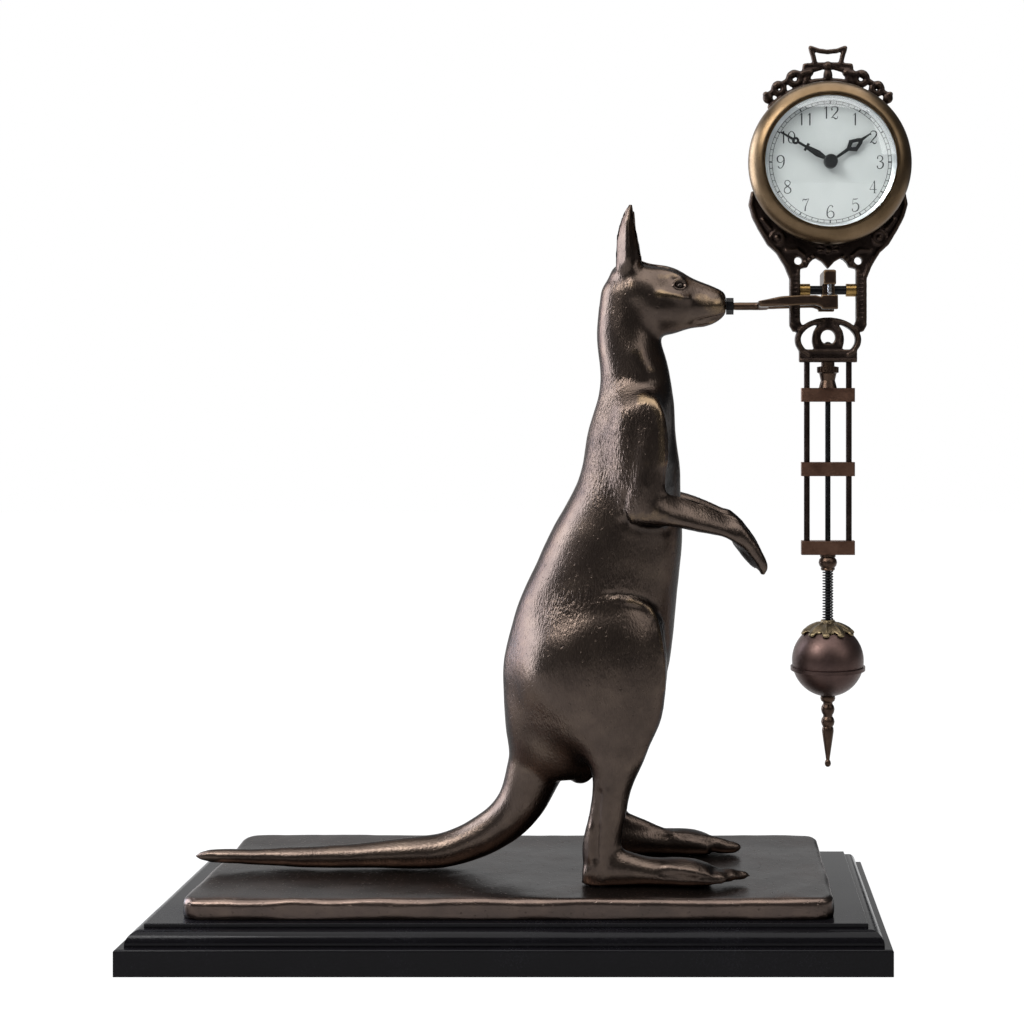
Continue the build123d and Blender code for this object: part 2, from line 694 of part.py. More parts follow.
def suspension_yoke():
    half = PRONG_Y + PRONG_THICKNESS / 2
    bar = block(-YOKE_WIDTH / 2, YOKE_WIDTH / 2, -half, half, YOKE_BAR_BOTTOM, YOKE_BAR_TOP)
    bar = fillet(bar.edges().group_by(Axis.Z)[-1], YOKE_EDGE_RADIUS)
    deep = YOKE_STEM_DEPTH / 2
    yoke = bar + block(-YOKE_WIDTH / 2, YOKE_WIDTH / 2, -deep, deep, YOKE_STEM_BOTTOM, YOKE_BAR_BOTTOM)
    yoke -= Pos(0, 0, SHAFT_RISE) * rod_along_x(SHAFT_RADIUS + FIXED_CLEARANCE, -YOKE_WIDTH, YOKE_WIDTH)
    for side in (-1, 1):
        hole = rod(PIN_RADIUS + FIXED_CLEARANCE, 0, YOKE_BAR_TOP - YOKE_EDGE_RADIUS)
        yoke -= Pos(0, side * PRONG_Y, 0) * hole
    return yoke


def pivot_pins():
    pin = rod(PIN_RADIUS, PIN_CONE, YOKE_BAR_TOP - YOKE_EDGE_RADIUS)
    pin += Cone(PIN_TIP_RADIUS, PIN_RADIUS, PIN_CONE, align=(Align.CENTER, Align.CENTER, Align.MIN))
    return [Pos(0, side * PRONG_Y, 0) * pin for side in (-1, 1)]


def cross_shaft():
    reach = LEG_INNER + SHAFT_BITE
    return Pos(0, 0, SHAFT_RISE) * rod_along_x(SHAFT_RADIUS, -reach, reach)


def shaft_collars():
    collars = []
    for side in (-1, 1):
        start = min(side * LEG_INNER, side * (LEG_INNER - COLLAR_LENGTH))
        collar = rod_along_x(COLLAR_RADIUS, start, start + COLLAR_LENGTH)
        collar -= rod_along_x(SHAFT_RADIUS + FIXED_CLEARANCE, start, start + COLLAR_LENGTH)
        collars.append(Pos(0, 0, SHAFT_RISE) * collar)
    return collars


def cradle_sketch():
    """Half outline of the cradle and leg, mirrored; the case sits in the round seat."""
    leg = [(LEG_OUTER, LEG_SHOULDER)] + LEG_FOOT + [(LEG_INNER, WINDOW_TOP)]
    right = [(0.0, CASE_RISE)] + CRADLE + leg + CRADLE_ARCHES
    half = make_face(Polyline(*right, close=True))
    whole = half + mirror(half, Plane.YZ)
    whole -= Pos(0, CASE_RISE) * Circle(DRUM_RADIUS + FIXED_CLEARANCE)
    x, z = CRADLE_HOLE
    return whole - Pos(x, z) * Circle(CRADLE_HOLE_RADIUS) - Pos(-x, z) * Circle(CRADLE_HOLE_RADIUS)


def ring_sketch():
    """Scrolled ring under the window: an oval with two crescent slots and a round eye, on a bar."""
    oval = Pos(0, RING_MIDDLE) * Ellipse(RING_HALF_WIDTH, RING_HALF_HEIGHT)
    slots = Pos(0, RING_MIDDLE) * Ellipse(*RING_SLOT_OUTER)
    slots -= Pos(0, RING_MIDDLE) * Ellipse(*RING_LYRE)
    eye = Pos(0, RING_MIDDLE + RING_EYE_RISE) * Circle(RING_EYE_RADIUS)
    bar_height = FOOT_BAR_TOP - FOOT_BAR_BOTTOM
    bar = Pos(0, FOOT_BAR_BOTTOM + bar_height / 2) * Rectangle(2 * FOOT_BAR_HALF, bar_height)
    return oval - slots - eye + bar


def clock_frame():
    frame = extrude(Plane.XZ * (cradle_sketch() + ring_sketch()), FRAME_THICKNESS / 2, both=True)
    reach = LEG_INNER + SHAFT_BITE
    frame -= Pos(0, 0, SHAFT_RISE) * rod_along_x(SHAFT_RADIUS + FIXED_CLEARANCE, -reach, reach)
    for side in (-1, 1):
        hole = rod(SIDE_ROD_RADIUS + FIXED_CLEARANCE, FOOT_BAR_BOTTOM, FOOT_BAR_BOTTOM + SIDE_ROD_BITE)
        frame -= Pos(side * SIDE_ROD_X, 0, 0) * hole
    return frame - rod(CENTRE_ROD_RADIUS + FIXED_CLEARANCE, FOOT_BAR_BOTTOM, FOOT_BAR_BOTTOM + SIDE_ROD_BITE)


def crest_sketch():
    reach = CREST_BAND_RADIUS * 2
    right = polar(reach, 90 - CREST_HALF_ANGLE)
    left = polar(reach, 90 + CREST_HALF_ANGLE)
    wedge = make_face(Polyline((0, 0), right, (0, reach), left, close=True))
    crest = Circle(CREST_BAND_RADIUS) & wedge
    for x, z, outer, eye in CREST_SCROLLS:
        for side in (-1, 1):
            crest += Pos(side * x, z) * Circle(outer)
    tie = [(-BOW_TIE_HALF, BOW_LOOP_BOTTOM), (BOW_TIE_HALF, BOW_LOOP_BOTTOM), (BOW_WAIST_HALF, BOW_KNOT_RISE)]
    tie += [(BOW_TIE_HALF, BOW_TIE_BOTTOM), (-BOW_TIE_HALF, BOW_TIE_BOTTOM), (-BOW_WAIST_HALF, BOW_KNOT_RISE)]
    crest += make_face(Polyline(*tie, close=True))
    crest += Pos(0, BOW_KNOT_RISE) * Circle(BOW_KNOT_RADIUS)
    height = BOW_LOOP_TOP - BOW_LOOP_BOTTOM
    middle = Pos(0, BOW_LOOP_BOTTOM + height / 2)
    crest += middle * RectangleRounded(2 * BOW_LOOP_HALF, height, height / 3)
    opening = RectangleRounded(2 * (BOW_LOOP_HALF - BOW_LOOP_WALL), height - 2 * BOW_LOOP_WALL, height / 5)
    crest -= middle * opening
    for x, z, outer, eye in CREST_SCROLLS:
        for side in (-1, 1):
            crest -= Pos(side * x, z) * Circle(eye)
    return crest - Circle(DRUM_RADIUS + FIXED_CLEARANCE)


def crest_ornament():
    return in_case(extrude(Plane.XZ * crest_sketch(), CREST_THICKNESS / 2, both=True))


def in_case(shape):
    """Moves a shape built round the clock's axis up to the case."""
    return Pos(0, 0, CASE_RISE) * shape


def at(x, z, shape):
    return Pos(x, 0, z) * shape


def case_drum():
    outer = rod_along_y(DRUM_RADIUS, DRUM_FRONT, DRUM_BACK)
    return in_case(outer - rod_along_y(DRUM_RADIUS - DRUM_WALL, DRUM_FRONT, DRUM_BACK))


def back_cover():
    inner = DRUM_RADIUS - DRUM_WALL - FIXED_CLEARANCE
    cover = rod_along_y(DRUM_RADIUS, DRUM_BACK, DRUM_BACK + COVER_THICKNESS)
    cover += rod_along_y(inner, DRUM_BACK - COVER_SPIGOT, DRUM_BACK)
    cover -= rod_along_y(inner - DRUM_WALL, DRUM_BACK - COVER_SPIGOT, DRUM_BACK)
    wide = BARREL_ARBOR_RADIUS + COVER_HOLE_AIR
    hole = rod_along_y(wide, DRUM_BACK - COVER_SPIGOT, DRUM_BACK + COVER_THICKNESS)
    cover -= hole
    cover -= at(*barrel_place(), hole)
    return in_case(cover)


def bezel():
    """Half-round ring that slips over the front of the drum and holds glass, ring and dial."""
    socket = DRUM_RADIUS + FIXED_CLEARANCE
    glass_front = BEZEL_FRONT + GLASS_RIM
    lip = (BEZEL_SIGHT_RADIUS, BEZEL_FRONT + BEZEL_LIP)
    crown = (BEZEL_SIGHT_RADIUS + BEZEL_CROWN, BEZEL_FRONT)
    side = (BEZEL_RADIUS, BEZEL_BACK - BEZEL_SKIRT)
    inside = Polyline(
        (socket, BEZEL_BACK),
        (socket, DRUM_FRONT),
        (BEZEL_SEAT_RADIUS, DRUM_FRONT),
        (BEZEL_SEAT_RADIUS, glass_front),
        (BEZEL_SIGHT_RADIUS, glass_front),
        lip,
    )
    inner_round = TangentArc(crown, lip, tangent=(-1, 0))
    outer_round = TangentArc(crown, side, tangent=(1, 0))
    back = Polyline(side, (BEZEL_RADIUS - BEZEL_BACK_TAPER, BEZEL_BACK), (socket, BEZEL_BACK))
    profile = make_face(inside + inner_round + outer_round + back)
    return in_case(revolve(profile, Axis.Y))


def glass():
    """Domed glass with a flat rim that stands on the sight ring inside the bezel."""
    rim_front = BEZEL_FRONT + GLASS_RIM
    rim_back = rim_front + GLASS_RIM
    edge = BEZEL_SEAT_RADIUS - FIXED_CLEARANCE
    dome_edge = BEZEL_SIGHT_RADIUS - RUNNING_CLEARANCE
    curve = (dome_edge**2 + GLASS_RISE**2) / (2 * GLASS_RISE)
    dome = Sphere(curve) - Sphere(curve - GLASS_THICKNESS)
    dome = Pos(0, rim_front - GLASS_RISE + curve, 0) * dome
    dome &= rod_along_y(dome_edge, rim_front - 2 * GLASS_RISE, rim_back)
    rim = rod_along_y(edge, rim_front, rim_back) - rod_along_y(dome_edge - GLASS_RIM, rim_front, rim_back)
    return in_case(dome + rim)


def dial_back():
    return DRUM_FRONT


def dial():
    disc = rod_along_y(DIAL_RADIUS, dial_back() - DIAL_THICKNESS, dial_back())
    return in_case(disc - rod_along_y(DIAL_BORE, dial_back() - DIAL_THICKNESS, dial_back()))


def sight_ring():
    """Bright cone between dial and glass."""
    back = dial_back() - DIAL_THICKNESS
    front = BEZEL_FRONT + 2 * GLASS_RIM
    flat = [(SIGHT_RING_INNER, back), (DIAL_RADIUS, back)]
    return in_case(turned_about_y(flat + [(DIAL_RADIUS, front), (BEZEL_SIGHT_RADIUS, front)]))


def gear_sketch(teeth, module, tooth_angle):
    """Involute gear outline with one tooth centred on tooth_angle (degrees from +X to +Z)."""
    pitch = module * teeth / 2
    base = pitch * math.cos(math.radians(PRESSURE_ANGLE))
    tip = pitch + TOOTH_ADDENDUM * module
    root = pitch - TOOTH_DEDENDUM * module
    half = math.pi / (2 * teeth) - TOOTH_SLACK * module / (2 * pitch)

    def involute(radius):
        ratio = max(radius / base, 1.0)
        return math.sqrt(ratio * ratio - 1) - math.acos(1 / ratio)

    start = max(base, root)
    radii = [root] if start > root else []
    radii += [start + (tip - start) * k / FLANK_STEPS for k in range(FLANK_STEPS + 1)]
    points = []
    for k in range(teeth):
        middle = math.radians(tooth_angle) + 2 * math.pi * k / teeth
        for radius in radii:
            turn = middle - half - involute(pitch) + involute(radius)
            points.append((radius * math.cos(turn), radius * math.sin(turn)))
        for radius in reversed(radii):
            turn = middle + half + involute(pitch) - involute(radius)
            points.append((radius * math.cos(turn), radius * math.sin(turn)))
    return make_face(Polyline(*points, close=True))


def gear(teeth, module, tooth_angle, front, thickness, bore=0.0):
    wheel = front_plate_shape(gear_sketch(teeth, module, tooth_angle), front, thickness)
    return wheel - rod_along_y(bore, front, front + thickness) if bore else wheel


def facing(teeth, angle):
    """Tooth angle of a gear whose gap faces back along a line of centres at this angle."""
    return angle + 180 + 180 / teeth


def polar(distance, angle):
    return distance * math.cos(math.radians(angle)), distance * math.sin(math.radians(angle))


def centre_distance(first, second, module):
    return module * (first + second) / 2 + MESH_SPREAD * module


def motion_place():
    return polar(centre_distance(CANNON_TEETH, MINUTE_WHEEL_TEETH, MOTION_MODULE), MOTION_ANGLE)


def barrel_place():
    return polar(centre_distance(BARREL_TEETH, CENTRE_PINION_TEETH, BARREL_MODULE), BARREL_ANGLE)


def third_place():
    return polar(centre_distance(CENTRE_TEETH, THIRD_PINION_TEETH, CENTRE_MODULE), THIRD_ANGLE)


def escape_place():
    x, z = third_place()
    dx, dz = polar(centre_distance(THIRD_TEETH, ESCAPE_PINION_TEETH, THIRD_MODULE), ESCAPE_ANGLE)
    return x + dx, z + dz


def anchor_place():
    x, z = escape_place()
    dx, dz = polar(ANCHOR_DISTANCE, ANCHOR_ANGLE)
    return x + dx, z + dz


def pivot_holes(front, back):
    """Running holes for the third, escape and anchor arbors."""
    hole = rod_along_y(ARBOR_RADIUS + RUNNING_CLEARANCE, front, back)
    return [at(x, z, hole) for x, z in (third_place(), escape_place(), anchor_place())]


def train_arbor(back):
    """Arbor from its blind hole in the front plate back to the given depth."""
    return rod_along_y(ARBOR_RADIUS, FRONT_PLATE_BACK - PIVOT_HOLE_DEPTH + END_SHAKE, back)


def plate_radius():
    return DRUM_RADIUS - DRUM_WALL - FIXED_CLEARANCE


def front_plate():
    front = FRONT_PLATE_BACK - PLATE_T
    plate = rod_along_y(plate_radius(), front, FRONT_PLATE_BACK)
    plate -= rod_along_y(CANNON_RADIUS + RUNNING_CLEARANCE, front, FRONT_PLATE_BACK)
    x, z = barrel_place()
    plate -= at(x, z, rod_along_y(BARREL_ARBOR_RADIUS + RUNNING_CLEARANCE, front, FRONT_PLATE_BACK))
    for hole in pivot_holes(FRONT_PLATE_BACK - PIVOT_HOLE_DEPTH, FRONT_PLATE_BACK):
        plate -= hole
    x, z = motion_place()
    plate += at(x, z, rod_along_y(ARBOR_RADIUS, front - MOTION_STUD, front))
    return in_case(plate)


def back_plate():
    back = BACK_PLATE_FRONT + PLATE_T
    plate = rod_along_y(plate_radius(), BACK_PLATE_FRONT, back)
    plate -= rod_along_y(CENTRE_ARBOR_RADIUS + RUNNING_CLEARANCE, BACK_PLATE_FRONT, back)
    x, z = barrel_place()
    plate -= at(x, z, rod_along_y(BARREL_ARBOR_RADIUS + RUNNING_CLEARANCE, BACK_PLATE_FRONT, back))
    for hole in pivot_holes(BACK_PLATE_FRONT, back):
        plate -= hole
    return in_case(plate)


def plate_pillars():
    pillars = []
    for angle in PILLAR_ANGLES:
        x, z = polar(PILLAR_CIRCLE, angle)
        pillars.append(in_case(at(x, z, rod_along_y(PILLAR_RADIUS, FRONT_PLATE_BACK, BACK_PLATE_FRONT))))
    return pillars


def mainspring_barrel():
    """Toothed drum that holds the mainspring."""
    bore = BARREL_ARBOR_RADIUS + RUNNING_CLEARANCE
    drum = rod_along_y(BARREL_RADIUS, BARREL_FRONT, BARREL_BACK)
    drum -= rod_along_y(BARREL_RADIUS - BARREL_WALL, BARREL_FRONT + BARREL_WALL, BARREL_BACK)
    drum += gear(BARREL_TEETH, BARREL_MODULE, facing(BARREL_TEETH, BARREL_ANGLE), BARREL_BACK, GREAT_WHEEL_T)
    drum -= rod_along_y(bore, BARREL_FRONT, BARREL_BACK + GREAT_WHEEL_T)
    return in_case(at(*barrel_place(), drum))


def mainspring():
    """The wound coil pack, one solid ring between arbor and drum wall."""
    front = BARREL_FRONT + BARREL_WALL + RUNNING_CLEARANCE
    back = BARREL_BACK - RUNNING_CLEARANCE
    pack = rod_along_y(BARREL_RADIUS - BARREL_WALL - RUNNING_CLEARANCE, front, back)
    pack -= rod_along_y(HOOK_DRUM_RADIUS + COIL_AIR, front, back)
    return in_case(at(*barrel_place(), pack))


def winding_arbor():
    """Barrel arbor with its hook drum, running out through the back cover."""
    back = DRUM_BACK + COVER_THICKNESS + KEY_STEM
    stem = rod_along_y(BARREL_ARBOR_RADIUS, FRONT_PLATE_BACK - PLATE_T, back)
    front = BARREL_FRONT + BARREL_WALL + RUNNING_CLEARANCE
    stem += rod_along_y(HOOK_DRUM_RADIUS, front, BARREL_BACK - RUNNING_CLEARANCE)
    return in_case(at(*barrel_place(), stem))


def winding_key():
    """Two-winged key on the end of the winding arbor."""
    back = DRUM_BACK + COVER_THICKNESS
    sleeve = rod_along_y(BARREL_ARBOR_RADIUS + KEY_WALL, back + KEY_AIR, back + KEY_STEM + KEY_WING_T)
    wing = rod(KEY_WING_RADIUS, -KEY_WING_T / 2, KEY_WING_T / 2)
    wings = Pos(KEY_WING_X, 0, 0) * wing + Pos(-KEY_WING_X, 0, 0) * wing
    key = sleeve + Pos(0, back + KEY_STEM + KEY_WING_RADIUS / 2, 0) * wings
    key -= rod_along_y(BARREL_ARBOR_RADIUS + FIXED_CLEARANCE, back, back + KEY_STEM)
    return in_case(at(*barrel_place(), key))


def centre_wheel():
    """Centre arbor with its wheel and pinion; it carries the hands and the setting knob."""
    arbor = rod_along_y(CENTRE_ARBOR_RADIUS, MINUTE_HAND_FRONT, DRUM_BACK + COVER_THICKNESS + KNOB_T)
    wheel = gear(CENTRE_TEETH, CENTRE_MODULE, THIRD_ANGLE, CENTRE_WHEEL_FRONT, CENTRE_WHEEL_T)
    long = GREAT_WHEEL_T + 2 * PINION_MARGIN
    pinion = gear(CENTRE_PINION_TEETH, BARREL_MODULE, BARREL_ANGLE, BARREL_BACK - PINION_MARGIN, long)
    return in_case(arbor + wheel + pinion)


def third_wheel():
    arbor = train_arbor(BACK_PLATE_FRONT + PLATE_T)
    tooth = facing(THIRD_PINION_TEETH, THIRD_ANGLE)
    long = CENTRE_WHEEL_T + 2 * PINION_MARGIN
    pinion = gear(THIRD_PINION_TEETH, CENTRE_MODULE, tooth, CENTRE_WHEEL_FRONT - PINION_MARGIN, long)
    wheel = gear(THIRD_TEETH, THIRD_MODULE, ESCAPE_ANGLE, THIRD_WHEEL_FRONT, THIRD_WHEEL_T)
    return in_case(at(*third_place(), arbor + pinion + wheel))


def escape_wheel():
    points = []
    for k in range(ESCAPE_TEETH):
        points.append(polar(ESCAPE_RADIUS, 360 / ESCAPE_TEETH * k))
        points.append(polar(ESCAPE_ROOT, 360 / ESCAPE_TEETH * (k + ESCAPE_TOOTH_LEAN)))
    wheel = front_plate_shape(make_face(Polyline(*points, close=True)), ESCAPE_FRONT, ESCAPE_T)
    for k in range(ESCAPE_CROSSINGS):
        x, z = polar(ESCAPE_HOLE_CIRCLE, 360 / ESCAPE_CROSSINGS * (k + 0.5))
        wheel -= at(x, z, rod_along_y(ESCAPE_HOLE_RADIUS, ESCAPE_FRONT, ESCAPE_FRONT + ESCAPE_T))
    arbor = train_arbor(BACK_PLATE_FRONT + PLATE_T)
    tooth = facing(ESCAPE_PINION_TEETH, ESCAPE_ANGLE)
    long = THIRD_WHEEL_T + 2 * PINION_MARGIN
    pinion = gear(ESCAPE_PINION_TEETH, THIRD_MODULE, tooth, THIRD_WHEEL_FRONT - PINION_MARGIN, long)
    return in_case(at(*escape_place(), arbor + wheel + pinion))


def anchor():
    """Anchor that straddles the escape wheel, on an arbor that reaches through the back plate."""
    inner = ESCAPE_RADIUS + ANCHOR_AIR
    outer = inner + ANCHOR_WIDTH
    left = polar(3 * outer, ANCHOR_ANGLE + ANCHOR_SPAN)
    right = polar(3 * outer, ANCHOR_ANGLE - ANCHOR_SPAN)
    tip = polar(3 * outer, ANCHOR_ANGLE)
    wedge = make_face(Polyline((0, 0), right, tip, left, close=True))
    arms = (Circle(outer) & wedge) - Circle(inner)
    hub = polar(ANCHOR_DISTANCE, ANCHOR_ANGLE)
    arms += Pos(*hub) * Circle(ANCHOR_HUB_RADIUS)
    body = front_plate_shape(arms, ESCAPE_FRONT - ANCHOR_MARGIN, ESCAPE_T + 2 * ANCHOR_MARGIN)
    arbor = train_arbor(SWING_FRONT + SWING_BOB_T / 2)
    return in_case(at(*escape_place(), body) + at(*anchor_place(), arbor))


def impulse_pendulum():
    """Short pendulum on the anchor's arbor, behind the back plate; its swing drives the clock."""
    x, z = anchor_place()
    hub = rod_along_y(SWING_HUB_RADIUS, SWING_FRONT, SWING_FRONT + SWING_BOB_T)
    half = SWING_ROD_WIDTH / 2
    front = SWING_FRONT + (SWING_BOB_T - SWING_ROD_T) / 2
    rod_bar = block(-half, half, front, front + SWING_ROD_T, -SWING_ROD_LENGTH, -OVERLAP)
    bob = Pos(0, 0, -SWING_ROD_LENGTH) * rod_along_y(SWING_BOB_RADIUS, SWING_FRONT, SWING_FRONT + SWING_BOB_T)
    swing = hub + rod_bar + bob
    swing -= rod_along_y(ARBOR_RADIUS + FIXED_CLEARANCE, SWING_FRONT, SWING_FRONT + SWING_BOB_T / 2)
    return in_case(at(x, z, swing))


def cannon_front():
    return FRONT_PLATE_BACK - PLATE_T - MOTION_AIR


def cannon_pinion():
    """Tube on the centre arbor with the motion work's first pinion; it carries the minute hand."""
    tube = rod_along_y(CANNON_RADIUS, MINUTE_HAND_FRONT + HAND_T, cannon_front())
    tube += gear(CANNON_TEETH, MOTION_MODULE, MOTION_ANGLE, cannon_front() - CANNON_PINION_T, CANNON_PINION_T)
    bore = rod_along_y(CENTRE_ARBOR_RADIUS + FIXED_CLEARANCE, MINUTE_HAND_FRONT, cannon_front())
    return in_case(tube - bore)


def second_motion_module():
    """Module that gives pinion and hour wheel the same centre distance as the first pair."""
    first = CANNON_TEETH + MINUTE_WHEEL_TEETH
    second = MINUTE_PINION_TEETH + HOUR_WHEEL_TEETH
    return MOTION_MODULE * (first / 2 + MESH_SPREAD) / (second / 2 + MESH_SPREAD)


def motion_wheel_front():
    return cannon_front() - (CANNON_PINION_T + MOTION_WHEEL_T) / 2


def minute_wheel():
    """Minute wheel with its pinion on a stud of the front plate."""
    front = motion_wheel_front()
    back = front + MOTION_WHEEL_T
    tooth = facing(MINUTE_WHEEL_TEETH, MOTION_ANGLE)
    wheel = gear(MINUTE_WHEEL_TEETH, MOTION_MODULE, tooth, front, MOTION_WHEEL_T)
    pinion_front = front - MOTION_PINION_T
    module = second_motion_module()
    wheel += gear(MINUTE_PINION_TEETH, module, MOTION_ANGLE + 180, pinion_front, MOTION_PINION_T)
    wheel -= rod_along_y(ARBOR_RADIUS + RUNNING_CLEARANCE, pinion_front, back)
    return in_case(at(*motion_place(), wheel))


def hour_wheel():
    """Hour wheel on its pipe, which turns on the cannon tube and carries the hour hand."""
    front = motion_wheel_front() - MOTION_PINION_T + MOTION_AIR / 3
    back = front + MOTION_WHEEL_T
    tooth = facing(HOUR_WHEEL_TEETH, MOTION_ANGLE + 180)
    wheel = gear(HOUR_WHEEL_TEETH, second_motion_module(), tooth, front, MOTION_WHEEL_T)
    wheel += rod_along_y(HOUR_PIPE_RADIUS, HOUR_HAND_FRONT + HAND_T, back)
    bore = CANNON_RADIUS + RUNNING_CLEARANCE
    return in_case(wheel - rod_along_y(bore, HOUR_HAND_FRONT, back))


def tapered(points, length):
    """Flat symmetric outline from points of half width and share of the length."""
    right = [(x, share * length) for x, share in points]
    left = [(-x, z) for x, z in reversed(right)]
    return make_face(Polyline(*right, *left, close=True))


def hour_hand():
    """Spade hand with an open heart and a fine point."""
    far = HOUR_HAND_LENGTH
    hand = Circle(HOUR_PIPE_RADIUS + HAND_HUB_WALL) + tapered(HOUR_BLADE, far) + tapered(HOUR_SPADE, far)
    hand -= tapered(HOUR_HEART, far)
    hand -= Circle(CANNON_RADIUS + RUNNING_CLEARANCE)
    return in_case(Rot(0, HOUR_ANGLE, 0) * front_plate_shape(hand, HOUR_HAND_FRONT, HAND_T))


def minute_hand():
    """Long hand: a leaf blade, a cross bar, a fine stem with a small open circle, and a point."""
    far = MINUTE_HAND_LENGTH
    hand = Circle(CANNON_RADIUS + HAND_HUB_WALL)
    for outline in (MINUTE_BLADE, MINUTE_BAR, MINUTE_STEM):
        hand += tapered(outline, far)
    eye = Pos(0, MINUTE_EYE * far)
    hand += eye * Circle(MINUTE_EYE_RADII[0])
    hand -= eye * Circle(MINUTE_EYE_RADII[1])
    hand -= Circle(CENTRE_ARBOR_RADIUS + FIXED_CLEARANCE)
    return in_case(Rot(0, MINUTE_ANGLE, 0) * front_plate_shape(hand, MINUTE_HAND_FRONT, HAND_T))


def hand_cap():
    front = MINUTE_HAND_FRONT - HAND_CAP_T
    cap = rod_along_y(HAND_CAP_RADIUS, front, MINUTE_HAND_FRONT)
    return in_case(fillet(cap.edges().group_by(Axis.Y)[0], HAND_CAP_T / 2))


def setting_knob():
    back = DRUM_BACK + COVER_THICKNESS
    knob = rod_along_y(KNOB_RADIUS, back + KEY_AIR, back + KEY_AIR + KNOB_T)
    knob -= rod_along_y(CENTRE_ARBOR_RADIUS + FIXED_CLEARANCE, back, back + KNOB_T)
    return in_case(chamfer(knob.edges().group_by(Axis.Y)[-1], KNOB_CHAMFER))


def gridiron_rods():
    high = FOOT_BAR_BOTTOM + SIDE_ROD_BITE
    low = BAR_TOPS[2] - BAR_HEIGHT
    return [Pos(side * SIDE_ROD_X, 0, 0) * rod(SIDE_ROD_RADIUS, low, high) for side in (-1, 1)]


def centre_rod():
    low = BOB_Z - BOB_RADIUS - ROD_IN_FINIAL
    return rod(CENTRE_ROD_RADIUS, low, FOOT_BAR_BOTTOM + SIDE_ROD_BITE)


def crossbar(top):
    low = top - BAR_HEIGHT
    bar = block(-BAR_HALF_LENGTH, BAR_HALF_LENGTH, -BAR_DEPTH / 2, BAR_DEPTH / 2, low, top)
    bar = fillet(bar.edges().filter_by(Axis.Z), BAR_EDGE_RADIUS)
    for side in (-1, 1):
        bar -= Pos(side * SIDE_ROD_X, 0, 0) * rod(SIDE_ROD_RADIUS + FIXED_CLEARANCE, low, top)
    return bar - rod(CENTRE_ROD_RADIUS + FIXED_CLEARANCE, low, top)


def thumb_nut():
    """Knurled nut and vase between the frame's foot bar and the upper crossbar."""
    top = FOOT_BAR_BOTTOM
    scale = (top - BAR_TOPS[0]) / THUMB_NUT_VASE[-1][1]
    bore = CENTRE_ROD_RADIUS + FIXED_CLEARANCE
    wide = THUMB_NUT_RADIUS
    knurl = [top - scale * drop for drop in THUMB_NUT_KNURL]
    vase = [(radius, top - scale * drop) for radius, drop in THUMB_NUT_VASE]
    neck = [(bore, top), (THUMB_NUT_COLLAR, top), (THUMB_NUT_COLLAR, knurl[0] + THUMB_NUT_FLUTE_RADIUS)]
    nut = turned(neck + [(wide, knurl[0]), (wide, knurl[1])] + vase + [(bore, BAR_TOPS[0])])
    for k in range(THUMB_NUT_FLUTES):
        x, y = polar(wide, 360 / THUMB_NUT_FLUTES * k)
        nut -= Pos(x, y, 0) * rod(THUMB_NUT_FLUTE_RADIUS, knurl[1] - OVERLAP, knurl[0] + OVERLAP)
    return nut


def ball_nut():
    """Brass ball nut under the lower crossbar, with flat ends."""
    top = BAR_TOPS[2] - BAR_HEIGHT
    ball = Pos(0, 0, top - BALL_NUT_HEIGHT / 2) * Sphere(BALL_NUT_RADIUS)
    wide = BALL_NUT_RADIUS
    ball &= block(-wide, wide, -wide, wide, top - BALL_NUT_HEIGHT, top)
    return ball - rod(CENTRE_ROD_RADIUS + FIXED_CLEARANCE, top - BALL_NUT_HEIGHT, top)


def spring_spot(k):
    """Point and direction on the coil's middle line after k half turns from the bottom."""
    low = BALL_NUT_BOTTOM - SPRING_LENGTH + SPRING_WIRE_RADIUS
    rise = (SPRING_LENGTH - 2 * SPRING_WIRE_RADIUS) / (2 * SPRING_TURNS)
    turn = math.pi * k
    spot = Vector(SPRING_RADIUS * math.cos(turn), SPRING_RADIUS * math.sin(turn), low + rise * k)
    along = Vector(-SPRING_RADIUS * math.sin(turn), SPRING_RADIUS * math.cos(turn), rise / math.pi)
    return spot, along.normalized()


def biarc(start, start_along, end, end_along):
    """Two arcs that meet smoothly and leave both points along the given directions."""
    chord = end - start
    both = start_along + end_along
    spread = 2 * (1 - start_along.dot(end_along))
    reach = (math.sqrt(chord.dot(both) ** 2 + spread * chord.dot(chord)) - chord.dot(both)) / spread
    first = start + start_along * reach
    last = end - end_along * reach
    middle = (first + last) * 0.5
    return [
        TangentArc(start, middle, tangent=start_along),
        TangentArc(middle, end, tangent=(last - first).normalized()),
    ]


def bob_spring():
    """Open coil spring round the rod, one round wire swept along pairs of arcs."""
    arcs = []
    for k in range(2 * SPRING_TURNS):
        arcs += biarc(*spring_spot(k), *spring_spot(k + 1))
    wire = Wire(arcs)
    spots = [wire @ (k / (32 * SPRING_TURNS)) for k in range(32 * SPRING_TURNS + 1)]
    gap = min((a - b).length for i, a in enumerate(spots) for b in spots[i + 20 :])
    print("spring: least gap between coils", round(gap - 2 * SPRING_WIRE_RADIUS, 3), "mm")
    start = Plane(origin=wire @ 0, z_dir=wire % 0)
    return sweep(start * Circle(SPRING_WIRE_RADIUS), path=wire)


